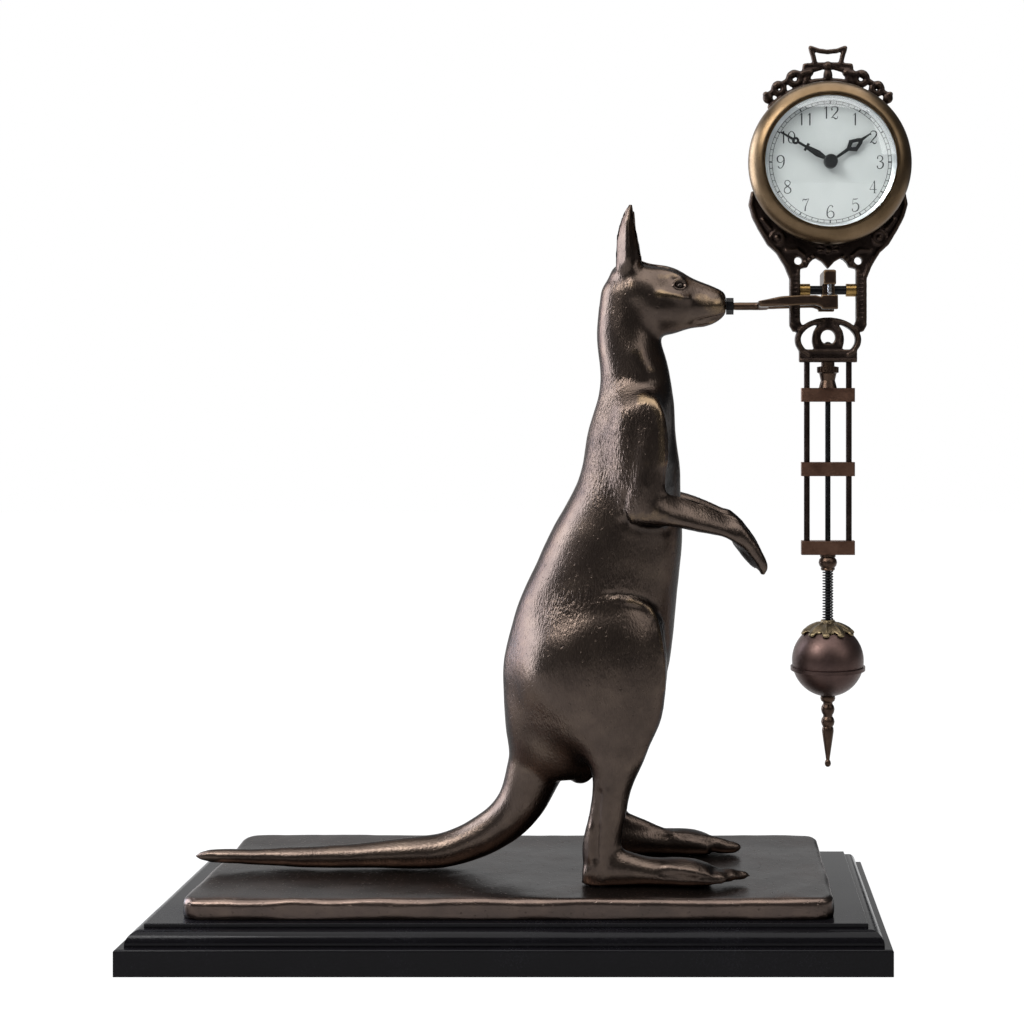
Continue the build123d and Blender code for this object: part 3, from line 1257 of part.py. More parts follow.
def leaf_cap():
    """Cap of leaves on top of the ball: a thin shell of the ball's own curve with a collar."""
    inner = BOB_RADIUS + FIXED_CLEARANCE
    shell = Sphere(inner + LEAF_CAP_T) - Sphere(inner)
    tall = 2 * BOB_RADIUS
    shell &= rod(LEAF_CAP_RADIUS, 0, tall)
    for k in range(LEAF_COUNT):
        x, y = polar(LEAF_CAP_RADIUS, 360 / LEAF_COUNT * k)
        shell -= Pos(x, y, 0) * rod(LEAF_NOTCH_RADIUS, 0, tall)
    cap = shell + rod(LEAF_COLLAR_RADIUS, BOB_RADIUS, BOB_RADIUS + LEAF_CAP_HEIGHT)
    cap -= Sphere(inner)
    return Pos(0, 0, BOB_Z) * (cap - rod(CENTRE_ROD_RADIUS + RUNNING_CLEARANCE, 0, tall))


def bob_bore():
    return rod(CENTRE_ROD_RADIUS + RUNNING_CLEARANCE, -2 * BOB_RADIUS, 2 * BOB_RADIUS)


def bob_upper_shell():
    wide = 2 * BOB_RADIUS
    shell = Sphere(BOB_RADIUS) - Sphere(BOB_RADIUS - BOB_WALL)
    shell &= block(-wide, wide, -wide, wide, -BOB_SEAM_DROP, wide)
    return Pos(0, 0, BOB_Z) * (shell - bob_bore())


def bob_lower_shell():
    wide = 2 * BOB_RADIUS
    shell = Sphere(BOB_RADIUS) - Sphere(BOB_RADIUS - BOB_WALL)
    shell &= block(-wide, wide, -wide, wide, -wide, -BOB_SEAM_DROP)
    band = ring(BOB_SEAM_RADIUS, BOB_RADIUS - BOB_WALL, BOB_SEAM_HEIGHT)
    shell += Pos(0, 0, -BOB_SEAM_DROP - BOB_SEAM_HEIGHT) * band
    return Pos(0, 0, BOB_Z) * (shell - Sphere(BOB_RADIUS - BOB_WALL) - bob_bore())


def bob_weight():
    return Pos(0, 0, BOB_Z) * (Sphere(BOB_RADIUS - BOB_WALL - FIXED_CLEARANCE) - bob_bore())


def rating_finial():
    """Turned nut under the ball: collar, barrel, rings, taper and a ball tip."""
    top = BOB_Z - BOB_RADIUS
    profile = [(radius, top - drop) for radius, drop in FINIAL]
    nut = turned([(0, top)] + profile + [(0, top - FINIAL[-1][1])])
    nut += Pos(0, 0, top - FINIAL_LENGTH + FINIAL_TIP_RADIUS) * Sphere(FINIAL_TIP_RADIUS)
    return nut - rod(CENTRE_ROD_RADIUS + RUNNING_CLEARANCE, top - FINIAL_BORE, top)


def save(name, pieces):
    solids = []
    for piece in pieces if isinstance(pieces, list) else [pieces]:
        solids.extend(piece.solids())
    shape = solids[0] if len(solids) == 1 else Compound(children=solids)
    export_step(shape, os.path.join("parts", name + ".step"))


def hang_all(pieces):
    return [hang(piece) for piece in pieces] if isinstance(pieces, list) else hang(pieces)


os.makedirs("parts", exist_ok=True)

body_solid = torso_solid()
tail = figure_tail(body_solid)

STAND = {
    "plinth_board": plinth_board(),
    "plinth_moulding": plinth_moulding(),
    "plinth_screws": plinth_screws(),
    "ground_plate": ground_plate(),
    "plate_bolts": plate_bolts(),
    "foot_studs": foot_studs(),
    "foot_nuts": foot_nuts(),
    "figure_torso": figure_torso(body_solid),
    "figure_tail": tail,
    "right_leg": figure_leg(body_solid, tail, -1),
    "left_leg": figure_leg(body_solid, tail, 1),
    "right_arm": figure_arm(body_solid, -1),
    "left_arm": figure_arm(body_solid, 1),
    "support_fork": support_fork(),
    "lock_nut": lock_nut(),
    "bearing_cups": bearing_cups(),
}

SWINGER = {
    "suspension_yoke": suspension_yoke(),
    "pivot_pins": pivot_pins(),
    "cross_shaft": cross_shaft(),
    "shaft_collars": shaft_collars(),
    "clock_frame": clock_frame(),
    "crest_ornament": crest_ornament(),
    "case_drum": case_drum(),
    "back_cover": back_cover(),
    "bezel": bezel(),
    "glass": glass(),
    "dial": dial(),
    "sight_ring": sight_ring(),
    "front_plate": front_plate(),
    "back_plate": back_plate(),
    "plate_pillars": plate_pillars(),
    "mainspring_barrel": mainspring_barrel(),
    "mainspring": mainspring(),
    "winding_arbor": winding_arbor(),
    "winding_key": winding_key(),
    "centre_wheel": centre_wheel(),
    "third_wheel": third_wheel(),
    "escape_wheel": escape_wheel(),
    "anchor": anchor(),
    "impulse_pendulum": impulse_pendulum(),
    "cannon_pinion": cannon_pinion(),
    "minute_wheel": minute_wheel(),
    "hour_wheel": hour_wheel(),
    "hour_hand": hour_hand(),
    "minute_hand": minute_hand(),
    "hand_cap": hand_cap(),
    "setting_knob": setting_knob(),
    "gridiron_rods": gridiron_rods(),
    "centre_rod": centre_rod(),
    "upper_crossbar": crossbar(BAR_TOPS[0]),
    "middle_crossbar": crossbar(BAR_TOPS[1]),
    "lower_crossbar": crossbar(BAR_TOPS[2]),
    "thumb_nut": thumb_nut(),
    "ball_nut": ball_nut(),
    "bob_spring": bob_spring(),
    "leaf_cap": leaf_cap(),
    "bob_upper_shell": bob_upper_shell(),
    "bob_lower_shell": bob_lower_shell(),
    "bob_weight": bob_weight(),
    "rating_finial": rating_finial(),
}

for name, pieces in STAND.items():
    save(name, pieces)
for name, pieces in SWINGER.items():
    save(name, hang_all(pieces))
print("nodes", len(STAND) + len(SWINGER), "pivot at", round(PIVOT_X, 3), round(PIVOT_Z, 3))
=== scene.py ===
# %% [markdown]
# # A mystery clock with a kangaroo
# The real object is a cast bronze kangaroo on a black plinth. A fork leaves its nose and carries
# a clock that swings on two points, with a gridiron pendulum and a ball under it.
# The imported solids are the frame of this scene: sawn and drawn pieces keep their solids and only
# get a finish. Castings and turned pieces are made anew over them, because those have soft edges,
# relief and tool cuts that the solids leave out.

# %% Load the frame
import json
import math

import bmesh
import bpy
import numpy as np
from mathutils import Euler, Matrix, Vector, noise


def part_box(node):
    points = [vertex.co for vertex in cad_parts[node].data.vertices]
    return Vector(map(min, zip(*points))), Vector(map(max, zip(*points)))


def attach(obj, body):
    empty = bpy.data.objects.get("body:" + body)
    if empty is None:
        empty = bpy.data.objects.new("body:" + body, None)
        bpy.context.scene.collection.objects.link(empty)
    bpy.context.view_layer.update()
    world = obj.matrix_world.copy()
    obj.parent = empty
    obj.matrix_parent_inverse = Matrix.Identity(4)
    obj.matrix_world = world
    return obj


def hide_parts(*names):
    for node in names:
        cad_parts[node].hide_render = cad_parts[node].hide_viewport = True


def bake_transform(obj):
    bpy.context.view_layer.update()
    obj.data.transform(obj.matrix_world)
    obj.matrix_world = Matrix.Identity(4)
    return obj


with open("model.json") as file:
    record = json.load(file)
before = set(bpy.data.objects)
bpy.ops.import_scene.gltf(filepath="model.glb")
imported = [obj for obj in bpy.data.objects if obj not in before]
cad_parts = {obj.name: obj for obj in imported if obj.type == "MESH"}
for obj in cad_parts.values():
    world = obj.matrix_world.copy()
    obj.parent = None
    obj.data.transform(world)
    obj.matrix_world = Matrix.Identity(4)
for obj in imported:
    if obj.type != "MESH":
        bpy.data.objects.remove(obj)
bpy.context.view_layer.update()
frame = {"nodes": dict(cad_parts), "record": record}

nodes = frame["nodes"]
scene = bpy.context.scene
MM = 0.001

# %% [markdown]
# ## Camera
# The photograph looks straight along +Y with the plinth's front edge level, so the camera is
# level too, and a lens shift frames the object as the photograph does.
# Turning the camera instead would tilt the plinth's edge.

# %% Camera
IMAGE = 1024
FOCAL_PIXELS = 1508
VANISHING = (693, 408)
SENSOR = 36.0
CAMERA_PLACE = (0.0704, -0.6107, 0.2113)

lens = bpy.data.cameras.new("camera")
lens.sensor_width = SENSOR
lens.lens = FOCAL_PIXELS * SENSOR / IMAGE
lens.shift_x = (IMAGE / 2 - VANISHING[0]) / IMAGE
lens.shift_y = (VANISHING[1] - IMAGE / 2) / IMAGE
camera = bpy.data.objects.new("camera", lens)
camera.location = CAMERA_PLACE
camera.rotation_euler = (math.radians(90), 0, 0)
scene.collection.objects.link(camera)
scene.camera = camera
scene.view_settings.view_transform = "Standard"
print("lens", round(lens.lens, 2), "mm, shift", round(lens.shift_x, 4), round(lens.shift_y, 4))

# %% [markdown]
# ## Nodes and colours
# Materials are node trees. One small function adds a node, sets its properties and links its
# sockets, so each material below reads as a short list. Colours are written as sRGB hex codes,
# as a paint chart has them, and one function turns them to the linear values that nodes take.

# %% Node and colour helpers
def linear(code):
    """Linear RGBA from an sRGB hex code."""
    parts = [int(code[k : k + 2], 16) / 255 for k in (0, 2, 4)]
    return [c / 12.92 if c <= 0.04045 else ((c + 0.055) / 1.055) ** 2.4 for c in parts] + [1.0]


def add(tree, kind, sockets=None, stops=(), **settings):
    """Adds a node. A socket takes a value or another node's output; a colour ramp takes stops."""
    made = tree.nodes.new("ShaderNode" + kind)
    for name, value in settings.items():
        setattr(made, name, value)
    for key, value in (sockets or {}).items():
        if isinstance(value, bpy.types.NodeSocket):
            tree.links.new(value, made.inputs[key])
        else:
            made.inputs[key].default_value = value
    if stops:
        band = made.color_ramp.elements
        while len(band) < len(stops):
            band.new(0.5)
        for element, (place, code) in zip(band, stops):
            element.position = place
            element.color = linear(code)
    return made


def new_finish(name):
    """A material with its node tree, shader and the piece's own coordinates in metres."""
    material = bpy.data.materials.new(name)
    material.use_nodes = True
    tree = material.node_tree
    return material, tree, tree.nodes["Principled BSDF"], add(tree, "TexCoord").outputs["Object"]


def connect(tree, shader, **sockets):
    for name, value in sockets.items():
        tree.links.new(value, shader.inputs[name.replace("_", " ")])


print("white is", linear("ffffff")[:3])

# %% [markdown]
# ## The white stage
# The photograph has a plain white ground. Here one sheet of pale paper lies under the plinth and one
# hangs behind it. Light Path tells a shader which ray asks: the paper is white to the camera, through
# the glass and in mirrors, and to all other rays it is plain paper, so that it isn't a lamp. In mirrors
# the floor is white only from shortly before the plinth backwards, or its black front would turn grey.

# %% Stage
def sheet_of_paper(name, width, height, place, turn, paper):
    sheet = bmesh.new()
    stretch = Matrix.Diagonal((width, height, 1, 1))
    bmesh.ops.create_grid(sheet, x_segments=1, y_segments=1, size=0.5, matrix=stretch)
    mesh = bpy.data.meshes.new(name)
    sheet.to_mesh(mesh)
    sheet.free()
    mesh.materials.append(paper)
    made = bpy.data.objects.new(name, mesh)
    made.location = place
    made.rotation_euler = turn
    scene.collection.objects.link(made)
    return made


def white_paper(name, dark, light, share, strength, near, far):
    """White paper that glows for sight, and in mirrors from none at near to all at far along Y."""
    material, tree, shader, place = new_finish(name)
    path = add(tree, "LightPath").outputs
    seen = add(
        tree, "Math", {0: path["Is Camera Ray"], 1: path["Is Transmission Ray"]}, operation="MAXIMUM"
    )
    depth = add(tree, "SeparateXYZ", {0: place}).outputs["Y"]
    behind = add(tree, "MapRange", {"Value": depth, "From Min": near, "From Max": far})
    mirrored = add(
        tree, "Math", {0: path["Is Glossy Ray"], 1: behind.outputs[0]}, operation="MULTIPLY"
    )
    either = add(tree, "Math", {0: seen.outputs[0], 1: mirrored.outputs[0]}, operation="MAXIMUM")
    glow = add(tree, "Math", {0: either.outputs[0], 1: share}, operation="MULTIPLY")
    fibre = add(tree, "TexNoise", {"Vector": place, "Scale": 1 / (40 * MM), "Detail": 2})
    white = add(tree, "ValToRGB", {"Fac": fibre.outputs["Fac"]}, [(0.3, dark), (0.7, light)])
    connect(tree, shader, Base_Color=white.outputs["Color"])
    shader.inputs["Roughness"].default_value = 0.9
    shine = add(tree, "Emission", {"Color": linear("ffffff"), "Strength": strength})
    both = add(tree, "MixShader", {0: glow.outputs[0], 1: shader.outputs[0], 2: shine.outputs[0]})
    tree.links.new(both.outputs[0], tree.nodes["Material Output"].inputs["Surface"])
    return material


# the floor keeps a share of its own paper to the camera, so that the plinth's shadow stays on it
floor_paper = white_paper("floor_paper", "b2b2b2", "b6b6b6", 0.88, 1.12, -0.14, -0.097)
wall_paper = white_paper("wall_paper", "e8e8e8", "ececec", 1.0, 1.0, -9.0, -8.0)
floor = sheet_of_paper("floor", 8.0, 8.0, (0, 0, 0), (0, 0, 0), floor_paper)
wall = sheet_of_paper("wall", 4.4, 3.4, (-1.35, 2.4, 1.7), (math.radians(90), 0, 0), wall_paper)
print("stage", floor.name, wall.name)

# %% [markdown]
# ## Light
# The photograph has one broad, slightly cool light from the left, which draws a bright band down the
# kangaroo's back and leaves its chest dark. A large soft box does that here, and three weaker ones, in
# front, on the right and above, open the shade and light the dial. They stand where the clock's domed
# glass doesn't mirror them. A grey world fills the rest, and the camera sees it as white.

# %% Lamps and world
AIM = (0.05, 0, 0.2)
SOFT_BOXES = (
    ("soft_box_left", (-1.0, 0.25, 0.45), (0.03, 0, 0.2), (0.75, 1.0), 32.0, "e6efff"),
    ("soft_box_front", (-0.75, -0.66, 1.05), AIM, (0.6, 0.5), 16.0, "ffffff"),
    ("soft_box_right", (1.15, -0.85, 1.0), AIM, (0.8, 0.8), 4.5, "ffffff"),
    ("soft_box_top", (0.05, -0.3, 1.5), AIM, (1.6, 1.7), 30.0, "ffffff"),
)
for name, place, aim, size, watts, tone in SOFT_BOXES:
    light = bpy.data.lights.new(name, "AREA")
    light.shape = "RECTANGLE"
    light.size, light.size_y = size
    light.energy = watts
    light.color = linear(tone)[:3]
    lamp = bpy.data.objects.new(name, light)
    lamp.location = place
    lamp.rotation_euler = (Vector(aim) - Vector(place)).to_track_quat("-Z", "Y").to_euler()
    scene.collection.objects.link(lamp)

world = bpy.data.worlds.new("studio")
scene.world = world
world.use_nodes = True
tree = world.node_tree
sky = tree.nodes["Background"]
sky.inputs["Color"].default_value = linear("a6a8ac")
sky.inputs["Strength"].default_value = 0.25
paper_white = add(tree, "Background", {"Color": linear("ffffff"), "Strength": 1.0})
looked_at = add(tree, "LightPath").outputs["Is Camera Ray"]
both = add(tree, "MixShader", {0: looked_at, 1: sky.outputs[0], 2: paper_white.outputs[0]})
tree.links.new(both.outputs[0], tree.nodes["World Output"].inputs["Surface"])
print("lamps", len(bpy.data.lights))

# %% [markdown]
# ## Cast bronze with a brown patina
# The figure and its ground are sand-cast bronze, chased with small strokes for fur, darkened by a
# chemical patina and waxed. Hands and cloths wear the high places back to a golden brown, and the
# hollows stay dark. The skin carries that as an attribute called relief, where 0.5 is level, and a
# second attribute, fur, says how deep the strokes go. Relief also carries some painted highlight as
# gold on the figure's face and shoulder, and painted shade on the sides of the ground. The strokes are
# finer than a pixel on the real thing, so they are drawn as coarse as they need to show, 0.75 mm wide.

# %% Bronze
WORN_AND_HIGHLIGHT_GOLD = "8a7354"
WAX_TINT = "6b5c52"


def bronze_finish(name, tones, stroke_mm, stroke_long, stroke_turn, depth_mm, wax):
    material, tree, shader, place = new_finish(name)
    # colour: clouds of patina, gold where it is rubbed and where highlight is painted, dark in the hollows
    # and where shade is painted
    cloud = add(
        tree, "TexNoise", {"Vector": place, "Scale": 1 / (14 * MM), "Detail": 5, "Roughness": 0.62}
    )
    brown = add(tree, "ValToRGB", {"Fac": cloud.outputs["Fac"]}, list(zip((0.28, 0.5, 0.74), tones)))
    relief = add(tree, "Attribute", attribute_name="relief").outputs["Fac"]
    patch = add(tree, "TexNoise", {"Vector": place, "Scale": 1 / (3.5 * MM), "Detail": 3})
    ragged = add(
        tree, "Math", {0: patch.outputs["Fac"], 1: 0.22, 2: relief}, operation="MULTIPLY_ADD"
    ).outputs[0]
    worn = add(tree, "MapRange", {"Value": ragged, "From Min": 0.74, "From Max": 1.05})
    hollow_and_painted_shade = add(
        tree, "MapRange",
        {"Value": relief, "From Min": 0.2, "From Max": 0.46, "To Min": 0.38, "To Max": 1.0},
    )
    gold = add(
        tree, "Mix", {0: worn.outputs[0], 6: brown.outputs["Color"], 7: linear(WORN_AND_HIGHLIGHT_GOLD)},
        data_type="RGBA", blend_type="MIX",
    )
    dark = add(
        tree, "Mix", {0: 1.0, 6: gold.outputs[2], 7: hollow_and_painted_shade.outputs[0]},
        data_type="RGBA", blend_type="MULTIPLY",
    )
    # height: long strokes where there is fur, and a few casting pits
    size = 1 / (stroke_mm * MM)
    combed_place = add(tree, "Mapping", {
        "Vector": place, "Rotation": (0, math.radians(stroke_turn), 0),
        "Scale": (size, size, size / stroke_long),
    })
    strokes = add(
        tree, "TexNoise",
        {"Vector": combed_place.outputs[0], "Scale": 1.0, "Detail": 2, "Roughness": 0.5},
    )
    grit = add(tree, "TexNoise", {"Vector": place, "Scale": 1 / (1.3 * MM), "Detail": 1})
    pit = add(
        tree, "MapRange",
        {"Value": grit.outputs["Fac"], "From Min": 0.67, "From Max": 0.77, "To Min": 1.0, "To Max": 0.0},
    )
    fur = add(tree, "Attribute", attribute_name="fur").outputs["Fac"]
    furry = add(tree, "MapRange", {"Value": fur, "To Min": 0.2, "To Max": 2.1})
    combed = add(
        tree, "Math", {0: strokes.outputs["Fac"], 1: furry.outputs[0]}, operation="MULTIPLY"
    )
    height = add(
        tree, "Math", {0: pit.outputs[0], 1: 0.3, 2: combed.outputs[0]}, operation="MULTIPLY_ADD"
    )
    bump = add(
        tree, "Bump", {"Height": height.outputs[0], "Strength": 1.0, "Distance": depth_mm * MM}
    ).outputs[0]
    # gloss: rubbed places are smoother
    rough = add(
        tree, "MapRange",
        {"Value": ragged, "From Min": 0.3, "From Max": 1.0, "To Min": 0.35, "To Max": 0.24},
    )
    connect(tree, shader, Base_Color=dark.outputs[2], Normal=bump, Roughness=rough.outputs[0])
    connect(tree, shader, Coat_Normal=bump)
    shader.inputs["Metallic"].default_value = 1.0
    shader.inputs["Specular Tint"].default_value = linear(WAX_TINT)
    shader.inputs["Coat Weight"].default_value = wax
    shader.inputs["Coat Roughness"].default_value = 0.3
    return material


# chased and waxed: combed strokes that sparkle along a broad soft highlight
bronze_skin = bronze_finish(
    "cast_bronze_chased_brown_patina", ("372c25", "43372f", "51443a"), 0.75, 3.2, 14, 0.2, 0.32
)
# left rough from the sand: a grainy top with a thicker film of wax
bronze_ground = bronze_finish(
    "cast_bronze_rough_brown_patina", ("3c2e25", "493930", "57463b"), 1.6, 0.8, 0, 0.3, 0.65
)
print("finishes", bronze_skin.name, bronze_ground.name)

# %% [markdown]
# ## Metals of the clock
# The clock's metals differ in colour and in how they were worked: a spun and lacquered bezel, a
# sand-cast frame blackened with its high places rubbed, sawn bars with a copper bronze tone, turned
# brass, and blackened or ground steel. One recipe serves all: two tones that cloud into each other,
# a fine grain, and rubbed edges where the piece carries a relief attribute.

# %% Metals
def metal(name, dark, light, cloud_mm, grain_mm, depth_mm, rough, worn=None, stretch=(1, 1, 1)):
    material, tree, shader, place = new_finish(name)
    cloud = add(tree, "TexNoise", {"Vector": place, "Scale": 1 / (cloud_mm * MM), "Detail": 4})
    tone = add(
        tree, "ValToRGB", {"Fac": cloud.outputs["Fac"]}, [(0.3, dark), (0.7, light)]
    ).outputs["Color"]
    if worn:
        relief = add(tree, "Attribute", attribute_name="relief").outputs["Fac"]
        bare = add(tree, "MapRange", {"Value": relief, "From Min": 0.56, "From Max": 0.95})
        tone = add(
            tree, "Mix", {0: bare.outputs[0], 6: tone, 7: linear(worn)},
            data_type="RGBA", blend_type="MIX",
        ).outputs[2]
    size = 1 / (grain_mm * MM)
    fine = add(tree, "Mapping", {"Vector": place, "Scale": tuple(size * s for s in stretch)})
    grain = add(tree, "TexNoise", {"Vector": fine.outputs[0], "Scale": 1.0, "Detail": 3}).outputs["Fac"]
    bump = add(tree, "Bump", {"Height": grain, "Strength": 0.7, "Distance": depth_mm * MM})
    spread = add(tree, "MapRange", {
        "Value": grain, "From Min": 0.3, "From Max": 0.7, "To Min": rough - 0.06, "To Max": rough + 0.08,
    })
    connect(tree, shader, Base_Color=tone, Normal=bump.outputs[0], Roughness=spread.outputs[0])
    shader.inputs["Metallic"].default_value = 1.0
    return material


# spun and lacquered: a smooth dull gold with soft bands of light
lacquered_brass = metal("spun_brass_antique_lacquer", "544431", "685641", 9, 0.5, 0.02, 0.33)
# cast and blackened: sandy and nearly black, brown along the rubbed edges
cast_black = metal("cast_brass_blackened_rubbed", "211a17", "322925", 6, 0.7, 0.14, 0.4, worn="514338")
# filed and browned: small bright edges round dark faces
rubbed_bronze = metal("cut_bronze_browned", "382c26", "4e3e33", 5, 0.4, 0.03, 0.36, worn="6c5842")
# sawn: a dull red brown with marks along the bar
copper_bar = metal(
    "sawn_copper_bronze_browned", "523b30", "6b5042", 7, 0.45, 0.05, 0.42, stretch=(0.3, 1, 1)
)
# spun thin and lacquered: an even dark red with one wide highlight
copper_ball = metal("spun_copper_brown_lacquer", "453734", "55443f", 12, 0.8, 0.008, 0.42)
# turned and tarnished: yellow, with fine tool marks round the axis
turned_brass = metal(
    "turned_brass_tarnished", "7d6238", "9b7d4c", 5, 0.35, 0.02, 0.32, stretch=(0.5, 0.5, 1)
)
# stamped and tarnished: greenish, with pale ribs
olive_brass = metal("stamped_brass_olive_tarnish", "4b4234", "6a5d48", 4, 0.5, 0.03, 0.42, worn="8c7c5e")
# drawn and blackened: dark with a grey line of light along each rod
black_steel = metal("drawn_steel_blackened", "191919", "2a2a2b", 5, 0.3, 0.02, 0.38)
# hardened and ground: bright and sharp
bright_steel = metal("hardened_steel_ground", "9a9b9c", "b4b5b6", 4, 0.25, 0.01, 0.26)
# pressed and zinc plated: pale grey with a yellowish cloud
zinc_steel = metal("pressed_steel_zinc_plated", "8f938f", "b3b6ae", 6, 0.4, 0.02, 0.36)
# spun and silvered: pale and satin, no mirror
silvered = metal("spun_brass_silvered", "aeb1b4", "c4c7c9", 10, 0.5, 0.01, 0.38)
print("finishes so far", len(bpy.data.materials))

# %% [markdown]
# ## Black lacquer
# The plinth is wood under black lacquer: nearly a mirror, with a faint wave from the wood's fibres
# below it. Dust lies on it in drifts, which are paler and duller. A lower specular level keeps the
# black as deep as it is on the real boards.

# %% Black lacquer
# rubbed down and polished: deep black, with dim grey bands along the mouldings
black_lacquer, tree, shader, place = new_finish("turned_wood_black_lacquer")
dust = add(
    tree, "TexNoise", {"Vector": place, "Scale": 1 / (0.9 * MM), "Detail": 3, "Roughness": 0.7}
)
drift = add(tree, "TexNoise", {"Vector": place, "Scale": 1 / (30 * MM), "Detail": 3})
dusty = add(
    tree, "Math", {0: dust.outputs["Fac"], 1: drift.outputs["Fac"]}, operation="MULTIPLY"
).outputs[0]
black = add(tree, "ValToRGB", {"Fac": dusty}, [(0.25, "0b0a0c"), (0.42, "100f12"), (0.55, "232226")])
along = add(
    tree, "Mapping", {"Vector": place, "Scale": (1 / (22 * MM), 1 / (1.6 * MM), 1 / (1.6 * MM))}
)
fibres = add(tree, "TexNoise", {"Vector": along.outputs[0], "Scale": 1.0, "Detail": 3})
wave = add(tree, "Bump", {"Height": fibres.outputs["Fac"], "Strength": 0.35, "Distance": 0.03 * MM})
matt = add(
    tree, "MapRange",
    {"Value": dusty, "From Min": 0.2, "From Max": 0.45, "To Min": 0.14, "To Max": 0.36},
)
connect(
    tree, shader, Base_Color=black.outputs["Color"], Normal=wave.outputs[0], Roughness=matt.outputs[0]
)
shader.inputs["Specular IOR Level"].default_value = 0.09
print("made", black_lacquer.name)

# %% [markdown]
# ## Dial, ink and black hands
# The dial is a pale satin card, a little clouded, with the tooth of paper. Its ink is matt, and the
# hands carry black enamel with a soft sheen. Ink and enamel share one recipe and differ in gloss.

# %% Dial, ink and black hands
# coated and printed: an even pale white, a little grey, without highlights
dial_paper, tree, shader, place = new_finish("printed_card_satin_white")
tint = add(tree, "TexNoise", {"Vector": place, "Scale": 1 / (11 * MM), "Detail": 4})
pale = add(tree, "ValToRGB", {"Fac": tint.outputs["Fac"]}, [(0.3, "c6c8c8"), (0.7, "d0d1d1")])
tooth = add(tree, "TexNoise", {"Vector": place, "Scale": 1 / (0.3 * MM), "Detail": 2})
grain = add(tree, "Bump", {"Height": tooth.outputs["Fac"], "Strength": 0.3, "Distance": 0.01 * MM})
connect(tree, shader, Base_Color=pale.outputs["Color"], Normal=grain.outputs[0])
shader.inputs["Roughness"].default_value = 0.5


def black_paint(name, dark, light, rough):
    """Black paint or ink with a slightly uneven sheen."""
    material, tree, shader, place = new_finish(name)
    spots = add(tree, "TexNoise", {"Vector": place, "Scale": 1 / (0.8 * MM), "Detail": 3})
    black = add(tree, "ValToRGB", {"Fac": spots.outputs["Fac"]}, [(0.3, dark), (0.7, light)])
    skin = add(tree, "Bump", {"Height": spots.outputs["Fac"], "Strength": 0.3, "Distance": 0.01 * MM})
    connect(tree, shader, Base_Color=black.outputs["Color"], Normal=skin.outputs[0])
    shader.inputs["Roughness"].default_value = rough
    return material


# printed: matt, so the numerals don't glint
black_ink = black_paint("printing_ink_black", "17171a", "26262a", 0.55)
# dipped and baked: deeper black with a soft grey sheen along the hands
black_hands = black_paint("enamelled_steel_black", "0c0c0d", "1a1a1b", 0.3)
print("made", dial_paper.name, black_ink.name, black_hands.name)

# %% [markdown]
# ## Glass
# The domed glass is clear, with a faint film that dulls it in places. It lets lamps through by a
# Transparent shader for shadow and diffuse rays, because a solid glass shader would leave the dial
# in the dark.

# %% Glass
# pressed and polished: seen only by its rim and a few highlights
clear_glass, tree, shader, place = new_finish("pressed_glass_clear")
smear = add(tree, "TexNoise", {"Vector": place, "Scale": 1 / (16 * MM), "Detail": 2})
film = add(
    tree, "MapRange",
    {"Value": smear.outputs["Fac"], "From Min": 0.4, "From Max": 0.8, "To Min": 0.0, "To Max": 0.05},
)
connect(tree, shader, Roughness=film.outputs[0])
shader.inputs["Base Color"].default_value = linear("fafcfb")
shader.inputs["Transmission Weight"].default_value = 1.0
shader.inputs["IOR"].default_value = 1.5
path = add(tree, "LightPath").outputs
through = add(tree, "BsdfTransparent", {"Color": linear("f6f8f7")})
lets = add(tree, "Math", {0: path["Is Shadow Ray"], 1: path["Is Diffuse Ray"]}, operation="MAXIMUM")
both = add(tree, "MixShader", {0: lets.outputs[0], 1: shader.outputs[0], 2: through.outputs[0]})
tree.links.new(both.outputs[0], tree.nodes["Material Output"].inputs["Surface"])
print("all finishes", len(bpy.data.materials))

# %% [markdown]
# ## Clay: from solids to castings
# A casting starts as clay. Copies of the solids and extra eggs and rolls go into one lump. A copy of
# a solid is loose triangles, so its doubles are merged first. A subdivision surface would be another
# way, but it needs a clean cage for each limb, and clay needs none.

# %% Lumps of clay
def clay_from(*names):
    """A lump with merged copies of these solids."""
    clay = bmesh.new()
    for name in names:
        clay.from_mesh(nodes[name].data)
    bmesh.ops.remove_doubles(clay, verts=clay.verts, dist=0.001 * MM)
    return clay


def egg(clay, spot, size, turn=(0, 0, 0)):
    """Adds an egg: its middle and half sizes in mm, its turn in degrees."""
    turned_by = Euler([math.radians(t) for t in turn]).to_matrix().to_4x4()
    matrix = Matrix.Translation(Vector(spot) * MM) @ turned_by
    matrix = matrix @ Matrix.Diagonal([s * MM for s in size] + [1])
    bmesh.ops.create_icosphere(clay, subdivisions=3, radius=1, matrix=matrix)


def roll(clay, spots, closed=False):
    """Adds a tapering roll through spots of X, Y, Z and radius in mm."""
    spots = list(spots)
    pairs = list(zip(spots, spots[1:])) + ([(spots[-1], spots[0])] if closed else [])
    for x, y, z, radius in spots:
        matrix = Matrix.Translation(Vector((x, y, z)) * MM)
        bmesh.ops.create_icosphere(clay, subdivisions=2, radius=radius * MM, matrix=matrix)
    for first, last in pairs:
        start, end = Vector(first[:3]) * MM, Vector(last[:3]) * MM
        turned_by = (end - start).to_track_quat("Z", "Y").to_matrix().to_4x4()
        bmesh.ops.create_cone(
            clay, cap_ends=True, segments=12, radius1=first[3] * MM, radius2=last[3] * MM,
            depth=(end - start).length, matrix=Matrix.Translation((start + end) / 2) @ turned_by,
        )


print("helpers for clay: clay_from, egg, roll")

# %% [markdown]
# A voxel remesh turns the lump into one closed skin, as plaster over clay would, and what lies inside
# it goes away. The remesh can leave closed bubbles, so only the largest shell is kept.

